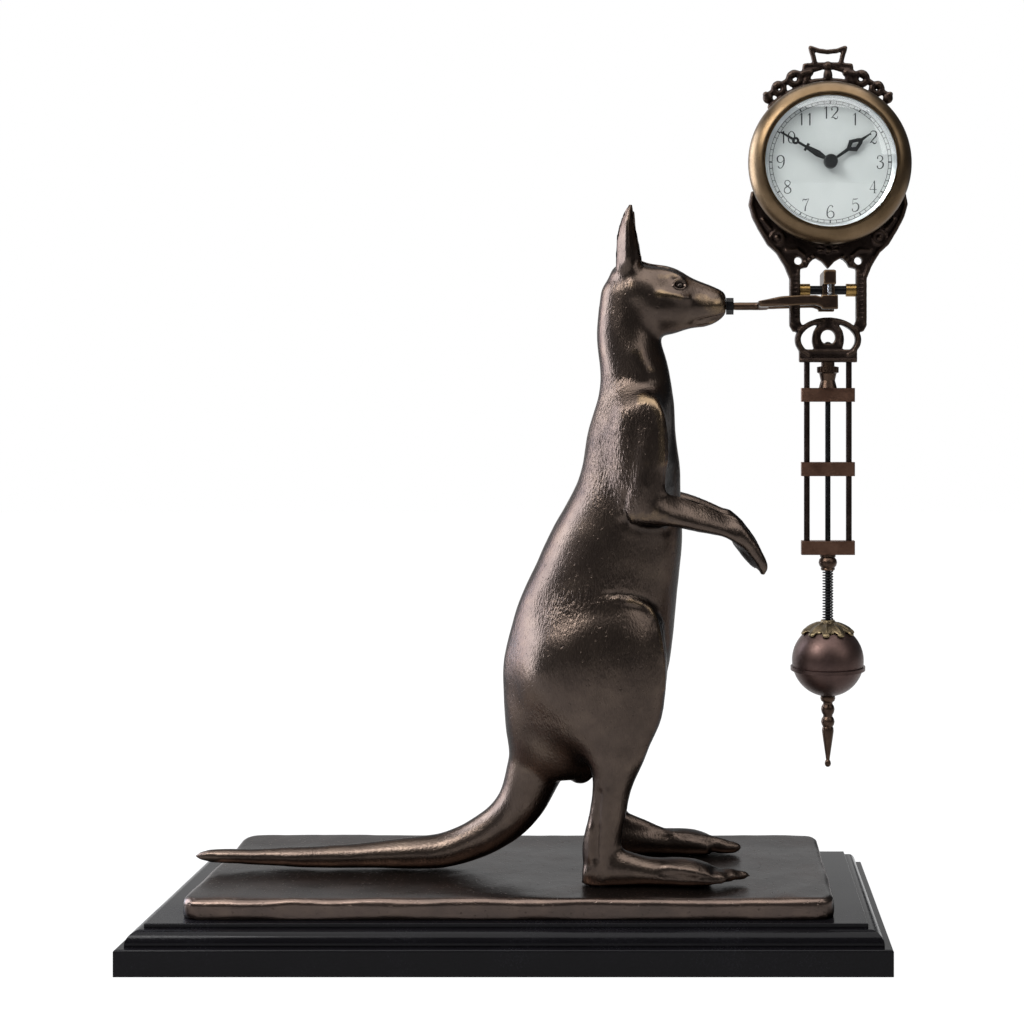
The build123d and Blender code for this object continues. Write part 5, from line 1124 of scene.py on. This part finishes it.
frame_clay = clay_from("clock_frame")
for face_y in (-FRAME_FACE, FRAME_FACE):
    for side in (-1, 1):
        lines = [(OUTER_EDGE, 0.75), (INNER_EDGE, 0.5)] + [(rib, 0.45) for rib in RIBS]
        lines += [(SHOULDER_BAR, 0.9), (ARCH, 0.7), (RING_OUTSIDE, 0.85), (RING_INSIDE, 0.75)]
        for line, radius in lines:
            roll(frame_clay, hung([(side * x, z) for x, z in line], PIVOT, face_y, radius))
        rosette = circle(side * ROSETTE[0], ROSETTE[1], 2.5)
        roll(frame_clay, hung(rosette, PIVOT, face_y, 0.75), closed=True)
        boss = (PIVOT.x + side * ROSETTE[0], face_y, PIVOT.z + ROSETTE[1])
        egg(frame_clay, boss, (1.3, 1.1, 1.3))
        for x, z in BEADS:
            egg(frame_clay, (PIVOT.x + side * x, face_y, PIVOT.z + z), (0.8, 0.8, 0.8))
    for k in range(7):
        turn = math.radians(30 * k)
        across, up = FAN_RADIUS * math.cos(turn), FAN_Z + FAN_RADIUS * math.sin(turn)
        egg(frame_clay, (PIVOT.x + across, face_y, PIVOT.z + up), (1.5, 0.9, 0.75), (0, -30 * k, 0))
    egg(frame_clay, (PIVOT.x, face_y, PIVOT.z + FAN_Z), (1.5, 1.3, 1.5))
    for z in (-25.0, -21.4):
        roll(frame_clay, hung([(-10.8, z), (10.8, z)], PIVOT, face_y, 0.5))
egg(frame_clay, (PIVOT.x, 0, PIVOT.z - 18.6), (1.5, 2.0, 1.2))
print("points in the lump", len(frame_clay.verts))

# %% [markdown]
# The lump now gets its skin. Small castings show the grain of the sand they were poured in, so the
# points move in and out a little, by noise with a fixed seed.

# %% Frame casting
def cast_skin(clay, name, voxel_mm, rounds, grain_mm, seed, depth_mm):
    """A small casting: the lump's skin, smoothed, with the grain of the sand on it."""
    mesh = skin_over(clay, name, voxel_mm)
    spots = smoothed(mesh, spots_of(mesh), rounds)
    put_back(mesh, spots)
    spots += normals_of(mesh) * (lumps(spots, grain_mm, seed) * depth_mm)[:, None]
    put_back(mesh, spots)
    return mesh, spots


casting, spots = cast_skin(frame_clay, "clock_frame_casting", 0.34, 3, 1.6, 11, 0.06)
mark_relief(casting, spots, 14, 0.28, 0.8)
piece(casting, cast_black, "swinger", "darkened_casting", "clock_frame")

# %% [markdown]
# ## The crest
# On top of the case sits a garland: two round scrolls and an end curl a side on a thin band, and a
# ribbon tied in a bow with one open loop. Each is a roll of clay bent through a few spots, as a
# pattern maker would do.

# %% Crest casting
def arc(radius, half_angle):
    angles = [math.radians(a) for a in range(-half_angle, half_angle + 1, 8)]
    return [(radius * math.sin(a), radius * math.cos(a)) for a in angles]


BOW_TOP = [(-7.0, 48.0), (-3.6, 46.8), (0, 46.4), (3.6, 46.8), (7.0, 48.0)]
BOW_FOOT = [(-4.9, 41.2), (4.9, 41.2)]
BOW_SIDE = [(6.9, 47.8), (5.9, 44.6), (5.2, 41.6)]
LOOP = [(1.5, 40.4), (5.5, 41.0), (9.2, 40.8), (9.4, 39.2), (5.5, 39.2)]
RIBBON_ENDS = (
    ([(7.4, 38.0), (10.4, 37.2)], 1.7), ([(8.2, 36.6), (8.8, 34.4)], 1.5),
    ([(16.0, 34.8), (17.8, 33.6)], 1.25), ([(22.0, 30.2), (23.4, 29.4)], 1.25),
)
SCROLLS = ((13.4, 35.5, 2.35, 1.4), (19.8, 31.4, 2.0, 1.35))

crest_clay = bmesh.new()
for line, radius in ((arc(33.4, 44), 1.35), (arc(34.8, 16), 1.2), (BOW_TOP, 1.0), (BOW_FOOT, 1.0)):
    roll(crest_clay, hung(line, CASE, 0, radius))
egg(crest_clay, (CASE.x, 0, CASE.z + 40.6), (2.1, 2.0, 2.0))
egg(crest_clay, (CASE.x, 0, CASE.z + 36.8), (1.9, 1.6, 3.0))
for side in (-1, 1):
    roll(crest_clay, hung([(side * x, z) for x, z in BOW_SIDE], CASE, 0, 1.05))
    roll(crest_clay, hung([(side * x, z) for x, z in LOOP], CASE, 0, 1.05), closed=True)
    for line, radius in RIBBON_ENDS:
        roll(crest_clay, hung([(side * x, z) for x, z in line], CASE, 0, radius))
    for x, z, radius, thick in SCROLLS:
        roll(crest_clay, hung(circle(side * x, z, radius), CASE, 0, thick), closed=True)
        crown = (CASE.x + side * (x + radius * 0.4), 0, CASE.z + z + radius * 0.75)
        egg(crest_clay, crown, (radius * 1.1, 1.9, 1.7), (0, side * 32, 0))
    egg(crest_clay, (CASE.x + side * 24.3, 0, CASE.z + 27.8), (2.1, 1.7, 2.4))
    egg(crest_clay, (CASE.x + side * 25.1, 0, CASE.z + 29.2), (1.3, 2.0, 1.1))
crest, spots = cast_skin(crest_clay, "crest_casting", 0.3, 2, 1.4, 12, 0.07)
mark_relief(crest, spots, 14, 0.3)
piece(crest, cast_black, "swinger", "darkened_casting", "crest_ornament")

# %% [markdown]
# ## Fork and yoke
# Both are small bronze castings with filed faces. A remesh of their solids rounds the corners by a
# few tenths of a millimetre, which is what catches the light on the real ones. The fork is filed down
# where its rod begins, so that the rod grows out of it in one line, and its prongs bow up a little
# before their pads.

# %% Fork and yoke
NECK_X = 95.5
ROD_RADIUS = 1.6
rod_z = (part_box("lock_nut")[0].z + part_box("lock_nut")[1].z) / 2 / MM
for source, name, body in (
    ("support_fork", "fork_casting", "stand"), ("suspension_yoke", "yoke_casting", "swinger"),
):
    mesh = skin_over(clay_from(source), name, 0.26)
    spots = smoothed(mesh, spots_of(mesh), 5)
    put_back(mesh, spots)
    if source == "support_fork":
        proud = np.maximum(spots[:, 2] - rod_z - ROD_RADIUS, 0)
        spots[:, 2] -= proud * (1 - eased(spots[:, 0], NECK_X, NECK_X + 11.0))
        before_pads = 1 - eased(spots[:, 0], PIVOT.x - 6.0, PIVOT.x - 3.0)
        spots[:, 2] += 0.7 * eased(spots[:, 0], NECK_X, PIVOT.x - 5.0) * before_pads
        spots = smoothed(mesh, spots, 30, 1 - eased(spots[:, 0], NECK_X + 6.0, NECK_X + 14.0))
        put_back(mesh, spots)
    spots += normals_of(mesh) * (lumps(spots, 2.2, 13) * 0.05)[:, None]
    put_back(mesh, spots)
    mark_relief(mesh, spots, 20, 0.3)
    piece(mesh, rubbed_bronze, body, "antique_brass", source)

# %% [markdown]
# ## Turned pieces
# Bezel, sight ring, ball nut and finial come from a lathe, so here a profile is spun round its axis.
# A full spin merges its last ring into the first, and edges over 35 degrees stay sharp as tool cuts do.

# %% Turned pieces
SHARP = math.radians(35)
BEZEL = [
    (28.05, -7.5), (31.9, -7.5), (32.5, -8.2), (32.65, -9.4), (32.2, -10.9), (31.3, -12.3), (30.2, -13.5),
    (29.0, -14.4), (27.9, -15.0), (27.2, -15.25), (26.8, -15.2), (26.6, -14.9), (26.4, -15.05),
    (26.15, -15.05), (26.0, -14.8), (26.0, -14.42), (27.6, -14.42), (27.6, -10.02), (28.05, -10.02),
]
BALL_NUT = [
    (1.2, 145.6), (2.6, 145.6), (2.9, 146.1), (2.7, 146.7), (3.4, 147.5), (3.75, 148.7), (3.5, 149.9),
    (2.8, 150.8), (3.2, 151.2), (3.1, 152.0), (1.2, 152.0),
]
FINIAL = [
    (1.25, 94.7), (2.9, 94.7), (3.05, 93.8), (2.7, 92.8), (1.95, 92.2), (1.9, 91.5), (2.5, 90.6),
    (2.75, 89.4), (2.5, 88.1), (1.95, 87.2), (1.9, 86.4), (2.5, 85.5), (2.75, 84.3), (2.45, 83.1),
    (2.0, 82.4), (2.3, 81.7), (2.4, 80.6), (2.0, 77.6), (1.35, 73.2), (0.8, 69.4), (0.75, 68.9),
    (1.1, 68.3), (1.3, 67.4), (1.1, 66.6), (0.6, 66.1), (0.05, 66.0), (0.05, 77.2), (1.25, 77.7),
]
ring_low, ring_high = (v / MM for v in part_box("sight_ring"))
ring_out = (ring_high.x - ring_low.x) / 2
SIGHT = [
    (24.5, ring_high.y), (24.5, ring_high.y - 0.15), (25.85, ring_high.y - 0.95), (26.0, ring_low.y),
    (ring_out, ring_low.y), (ring_out, ring_high.y),
]


def turned(name, profile, centre, axis, steps, material, body, slot, *stands_for):
    """Spins a closed profile of radius and height (along the axis), in mm."""
    lathe = bmesh.new()
    spin_axis = Vector(axis)
    out = Vector((1, 0, 0))
    ring = [lathe.verts.new((Vector(centre) + out * r + spin_axis * h) * MM) for r, h in profile]
    edges = [lathe.edges.new(pair) for pair in zip(ring, ring[1:] + ring[:1])]
    bmesh.ops.spin(
        lathe, geom=ring + edges, cent=Vector(centre) * MM, axis=spin_axis, angle=2 * math.pi,
        steps=steps, use_merge=True, use_duplicate=False,
    )
    bmesh.ops.remove_doubles(lathe, verts=lathe.verts, dist=0.001 * MM)
    bmesh.ops.recalc_face_normals(lathe, faces=lathe.faces)
    mesh = bpy.data.meshes.new(name)
    lathe.to_mesh(mesh)
    lathe.free()
    piece(mesh, material, body, slot, *stands_for)
    mesh.set_sharp_from_angle(angle=SHARP)


FACING, UPRIGHT = (0, 1, 0), (0, 0, 1)
ROD_AXIS = Vector((PIVOT.x, 0, 0))
turned("bezel_ring", BEZEL, CASE, FACING, 128, lacquered_brass, "swinger", "antique_brass", "bezel")
turned("sight_ring_spun", SIGHT, CASE, FACING, 96, silvered, "swinger", "silvered_ring", "sight_ring")
turned(
    "ball_nut_turned", BALL_NUT, ROD_AXIS, UPRIGHT, 48, rubbed_bronze, "swinger", "polished_brass", "ball_nut"
)
turned(
    "finial_turned", FINIAL, ROD_AXIS, UPRIGHT, 40, rubbed_bronze, "finial", "antique_brass", "rating_finial"
)

# %% [markdown]
# ## The cap of leaves
# A stamped brass rosette sits on the ball: ten leaves with a rib each, bent down over the sphere.
# Each leaf is a flat egg laid on the ball, with a thin egg on top of it as the rib and a third one
# that turns up its tip.

# %% Cap of leaves
LEAVES = 10
FIRST_LEAF = 9
LEAF_EGGS = ((27, (4.2, 2.3, 0.75), 0.45), (25, (3.6, 0.5, 0.6), 1.0), (41, (1.3, 1.7, 0.7), 0.75))
ball_low, ball_high = (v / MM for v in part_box("bob_upper_shell"))
ball_radius = (ball_high.x - ball_low.x) / 2
ball_middle = Vector((PIVOT.x, 0, ball_high.z - ball_radius))
leaf_clay = clay_from("leaf_cap")
for k in range(LEAVES):
    around = 360 * k / LEAVES + FIRST_LEAF
    for lean, size, lift in LEAF_EGGS:
        turn = Euler((0, math.radians(lean), math.radians(around)))
        spot = ball_middle + turn.to_matrix() @ Vector((0, 0, ball_radius + lift))
        egg(leaf_clay, spot, size, (0, lean, around))
leaves = skin_over(leaf_clay, "leaf_cap_stamped", 0.32)
spots = smoothed(leaves, spots_of(leaves), 2)
put_back(leaves, spots)
mark_relief(leaves, spots, 12, 0.35)
piece(leaves, olive_brass, "bob", "antique_brass", "leaf_cap")

# %% [markdown]
# ## The hands
# Stamped steel hands are painted by dipping, and the paint rounds and widens them. Copies of the
# solids grow sideways by a fifth of a millimetre, but not at the hubs, which stay free to turn.

# %% Hands
PAINT = 0.2
HUB = 4.0
for source, body in (("hour_hand", "hour_hand_group"), ("minute_hand", "minute_hand_group")):
    hand = clay_from(source)
    bmesh.ops.recalc_face_normals(hand, faces=hand.faces)
    hand.normal_update()
    for vert in hand.verts:
        outward = Vector((vert.normal.x, 0, vert.normal.z))
        if (vert.co - CASE * MM).xz.length > HUB * MM and outward.length > 0.1:
            vert.co += outward.normalized() * PAINT * MM
    mesh = bpy.data.meshes.new(source + "_painted")
    hand.to_mesh(mesh)
    hand.free()
    piece(mesh, black_hands, body, "black_hands", source)
    mesh.set_sharp_from_angle(angle=SHARP)

# %% [markdown]
# ## The dial's numerals: pen strokes
# Thin and thick pen strokes make these numerals, so each digit is a few curves with a changing
# radius, in a box of width 0.6 and height 1: X, height and radius of the pen. A text object would be
# quicker, but Blender's own typeface has strokes of one width. The 9 is the 6 turned round.

# %% Pen strokes
PEN = {
    "0": [
        [(0.3, 1.0, 0.03), (0.06, 0.86, 0.05), (0.05, 0.5, 0.075), (0.06, 0.14, 0.05), (0.3, 0.0, 0.03),
         (0.54, 0.14, 0.05), (0.55, 0.5, 0.075), (0.54, 0.86, 0.05), (0.3, 1.0, 0.03)],
    ],
    "1": [
        [(0.14, 0.8, 0.02), (0.26, 0.88, 0.03), (0.32, 1.0, 0.03)],
        [(0.32, 1.0, 0.05), (0.32, 0.5, 0.06), (0.32, 0.0, 0.05)],
    ],
    "2": [
        [(0.12, 0.68, 0.07), (0.04, 0.84, 0.03), (0.24, 1.04, 0.03), (0.56, 0.96, 0.06),
         (0.58, 0.66, 0.07), (0.34, 0.4, 0.05), (0.04, 0.04, 0.02)],
        [(0.04, 0.04, 0.02), (0.2, 0.18, 0.04), (0.38, -0.04, 0.06), (0.56, 0.04, 0.03), (0.58, 0.22, 0.02)],
    ],
    "3": [
        [(0.12, 0.76, 0.06), (0.1, 0.98, 0.03), (0.36, 1.04, 0.03), (0.56, 0.86, 0.06), (0.48, 0.6, 0.04),
         (0.26, 0.54, 0.02)],
        [(0.26, 0.54, 0.02), (0.54, 0.52, 0.05), (0.6, 0.22, 0.07), (0.42, -0.04, 0.04), (0.1, -0.02, 0.03),
         (0.1, 0.2, 0.06)],
    ],
    "4": [
        [(0.4, 1.0, 0.02), (0.24, 0.66, 0.02), (0.02, 0.3, 0.02)],
        [(0.02, 0.29, 0.03), (0.3, 0.29, 0.03), (0.58, 0.29, 0.03)],
        [(0.4, 1.0, 0.04), (0.41, 0.5, 0.065), (0.41, 0.0, 0.05)],
        [(0.3, 0.0, 0.02), (0.41, 0.0, 0.02), (0.54, 0.0, 0.02)],
    ],
    "5": [
        [(0.14, 0.98, 0.03), (0.36, 0.94, 0.06), (0.54, 1.02, 0.02)],
        [(0.14, 0.98, 0.02), (0.12, 0.76, 0.02), (0.1, 0.54, 0.02)],
        [(0.1, 0.54, 0.02), (0.3, 0.72, 0.03), (0.6, 0.54, 0.06), (0.58, 0.14, 0.07), (0.32, -0.06, 0.03),
         (0.04, 0.02, 0.03), (0.1, 0.2, 0.06)],
    ],
    "6": [
        [(0.5, 0.84, 0.06), (0.46, 1.02, 0.03), (0.2, 0.98, 0.03), (0.03, 0.56, 0.065), (0.05, 0.08, 0.06),
         (0.32, -0.06, 0.03), (0.6, 0.1, 0.06), (0.58, 0.44, 0.06), (0.34, 0.58, 0.03), (0.12, 0.44, 0.02),
         (0.07, 0.3, 0.02)],
    ],
    "7": [
        [(0.06, 0.78, 0.02), (0.08, 1.0, 0.04), (0.28, 0.9, 0.06), (0.46, 0.98, 0.03), (0.58, 1.0, 0.02)],
        [(0.58, 1.0, 0.02), (0.38, 0.6, 0.03), (0.26, 0.24, 0.06), (0.27, 0.0, 0.065)],
    ],
    "8": [
        [(0.3, 0.55, 0.05), (0.06, 0.72, 0.05), (0.12, 1.0, 0.03), (0.34, 1.04, 0.03), (0.54, 0.9, 0.04),
         (0.5, 0.68, 0.03), (0.3, 0.54, 0.06), (0.04, 0.36, 0.03), (0.04, 0.04, 0.04), (0.3, -0.06, 0.03),
         (0.58, 0.06, 0.05), (0.57, 0.4, 0.06), (0.3, 0.55, 0.05)],
    ],
}
PEN["9"] = [[(0.6 - x, 1 - z, r) for x, z, r in stroke] for stroke in PEN["6"]]
print("digits", len(PEN), "strokes", sum(len(strokes) for strokes in PEN.values()))

# %% [markdown]
# ## The dial's numerals: writing
# The twelve numerals stand upright round the dial, as on most plain clocks. All strokes go into one
# curve object with a round bevel, which then becomes a mesh.

# %% Numerals
NUMERAL_HEIGHT = 4.9
NUMERAL_CIRCLE = 19.6
DIGIT_STEP = 0.66
DIGIT_HALF = 0.3

pen = bpy.data.curves.new("numerals", "CURVE")
pen.dimensions = "3D"
pen.bevel_depth = 1.0
pen.bevel_resolution = 1
pen.resolution_u = 4
pen.use_fill_caps = True
for hour in range(1, 13):
    turn = math.radians(30 * hour)
    low_edge = NUMERAL_CIRCLE * math.cos(turn) - NUMERAL_HEIGHT / 2
    digits = str(hour)
    for k, digit in enumerate(digits):
        from_middle = DIGIT_STEP * (k - (len(digits) - 1) / 2) - DIGIT_HALF
        start = NUMERAL_CIRCLE * math.sin(turn) + NUMERAL_HEIGHT * from_middle
        for stroke in PEN[digit]:
            line = pen.splines.new("NURBS")
            line.points.add(len(stroke) - 1)
            for point, (x, z, radius) in zip(line.points, stroke):
                point.co = ((start + NUMERAL_HEIGHT * x) * MM, 0, (low_edge + NUMERAL_HEIGHT * z) * MM, 1)
                point.radius = NUMERAL_HEIGHT * radius * MM
            line.order_u = 3
            line.use_endpoint_u = True
writing = bpy.data.objects.new("numerals", pen)
scene.collection.objects.link(writing)
numerals = bpy.data.meshes.new_from_object(writing.evaluated_get(bpy.context.evaluated_depsgraph_get()))
bpy.data.objects.remove(writing)
print("strokes", len(pen.splines))

# %% [markdown]
# ## The dial's track
# Two thin rings with a bar for each minute, broader at the hours, make the track. Each ring is the
# bridge between two circles. Numerals and track become one mesh, which is pressed flat, as ink is, and
# laid on the dial.

# %% Track and print
TRACK = (23.0, 24.2)
RING_HALF = 0.1
HOUR_BAR, MINUTE_BAR = 0.5, 0.22
INK_FLAT = 0.06
INK_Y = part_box("dial")[0].y / MM

print_sheet = bmesh.new()
print_sheet.from_mesh(numerals)
bpy.data.meshes.remove(numerals)
upright = Matrix.Rotation(math.pi / 2, 4, "X")
for radius in TRACK:
    rims = []
    for r in (radius - RING_HALF, radius + RING_HALF):
        made = bmesh.ops.create_circle(print_sheet, segments=120, radius=r * MM, matrix=upright)
        rims += list({e for v in made["verts"] for e in v.link_edges})
    bmesh.ops.bridge_loops(print_sheet, edges=rims)
for minute in range(60):
    wide = HOUR_BAR if minute % 5 == 0 else MINUTE_BAR
    place = Matrix.Rotation(math.radians(6 * minute), 4, "Y")
    place = place @ Matrix.Translation((0, 0, sum(TRACK) / 2 * MM))
    bar = Matrix.Diagonal((wide * MM, 0.1 * MM, (TRACK[1] - TRACK[0]) * MM, 1))
    bmesh.ops.create_cube(print_sheet, size=1, matrix=place @ bar)
on_dial = Matrix.Translation((CASE.x * MM, (INK_Y - 0.03) * MM, CASE.z * MM))
flat_on_dial = on_dial @ Matrix.Scale(INK_FLAT, 4, (0, 1, 0))
bmesh.ops.transform(print_sheet, matrix=flat_on_dial, verts=print_sheet.verts)
bmesh.ops.recalc_face_normals(print_sheet, faces=print_sheet.faces)
dial_print = bpy.data.meshes.new("dial_print")
print_sheet.to_mesh(dial_print)
print_sheet.free()
piece(dial_print, black_ink, "swinger", "black_hands")

# %% [markdown]
# ## The coil spring
# The spring between the ball nut and the ball is wound from black wire. A small circle is spun many
# turns with a step along the axis, which gives a helix with closed ends. Its top belongs to the
# swinging frame and its foot to the ball.

# %% Coil spring
COIL_TURNS = 17
COIL_STEPS = 24
WIRE = 0.3
coil_low, coil_high = (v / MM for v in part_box("bob_spring"))
coil_radius = (coil_high.x - coil_low.x) / 2 - WIRE
pitch = (coil_high.z - coil_low.z - 2 * WIRE) / COIL_TURNS
coil = bmesh.new()
wire_start = Matrix.Translation(Vector((PIVOT.x + coil_radius, 0, coil_low.z + WIRE)) * MM)
bmesh.ops.create_circle(coil, segments=8, radius=WIRE * MM, cap_ends=True, matrix=wire_start @ upright)
bmesh.ops.spin(
    coil, geom=coil.verts[:] + coil.edges[:] + coil.faces[:], cent=PIVOT * MM, axis=(0, 0, 1),
    angle=2 * math.pi * COIL_TURNS, steps=COIL_TURNS * COIL_STEPS, dvec=(0, 0, pitch / COIL_STEPS * MM),
)
bmesh.ops.recalc_face_normals(coil, faces=coil.faces)
spring = bpy.data.meshes.new("coil_spring")
coil.to_mesh(spring)
coil.free()
spring_piece = bpy.data.objects.new("coil_spring", spring)
scene.collection.objects.link(spring_piece)
spring.materials.append(black_steel)
spring.shade_smooth()
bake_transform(spring_piece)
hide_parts("bob_spring")
print("spring pitch", round(pitch, 3), "mm")

# %% [markdown]
# ## Finishes for the solids that stay
# Boards, rods, bars, nuts, shells and the movement keep their solids. Each gets the finish of what it
# is made of, by the material slot that the record names for it. The ball is copper under a brown
# lacquer, and the thumb nut is browned as the fork is.

# %% Finishes for the solids
FINISHES = {
    "black_lacquered_wood": black_lacquer,
    "zinc_steel": zinc_steel,
    "patinated_bronze": bronze_skin,
    "antique_brass": lacquered_brass,
    "blackened_steel": black_steel,
    "hardened_steel": bright_steel,
    "polished_brass": turned_brass,
    "darkened_casting": cast_black,
    "clear_glass": clear_glass,
    "printed_dial": dial_paper,
    "silvered_ring": silvered,
    "black_hands": black_hands,
    "copper_brown": copper_bar,
}
for part in frame["record"]["subparts"]:
    solid = nodes[part["node"]]
    solid.data.materials.clear()
    solid.data.materials.append(FINISHES[part["material_slot"]])
for name in ("bob_upper_shell", "bob_lower_shell"):
    nodes[name].data.materials[0] = copper_ball
nodes["thumb_nut"].data.materials[0] = rubbed_bronze
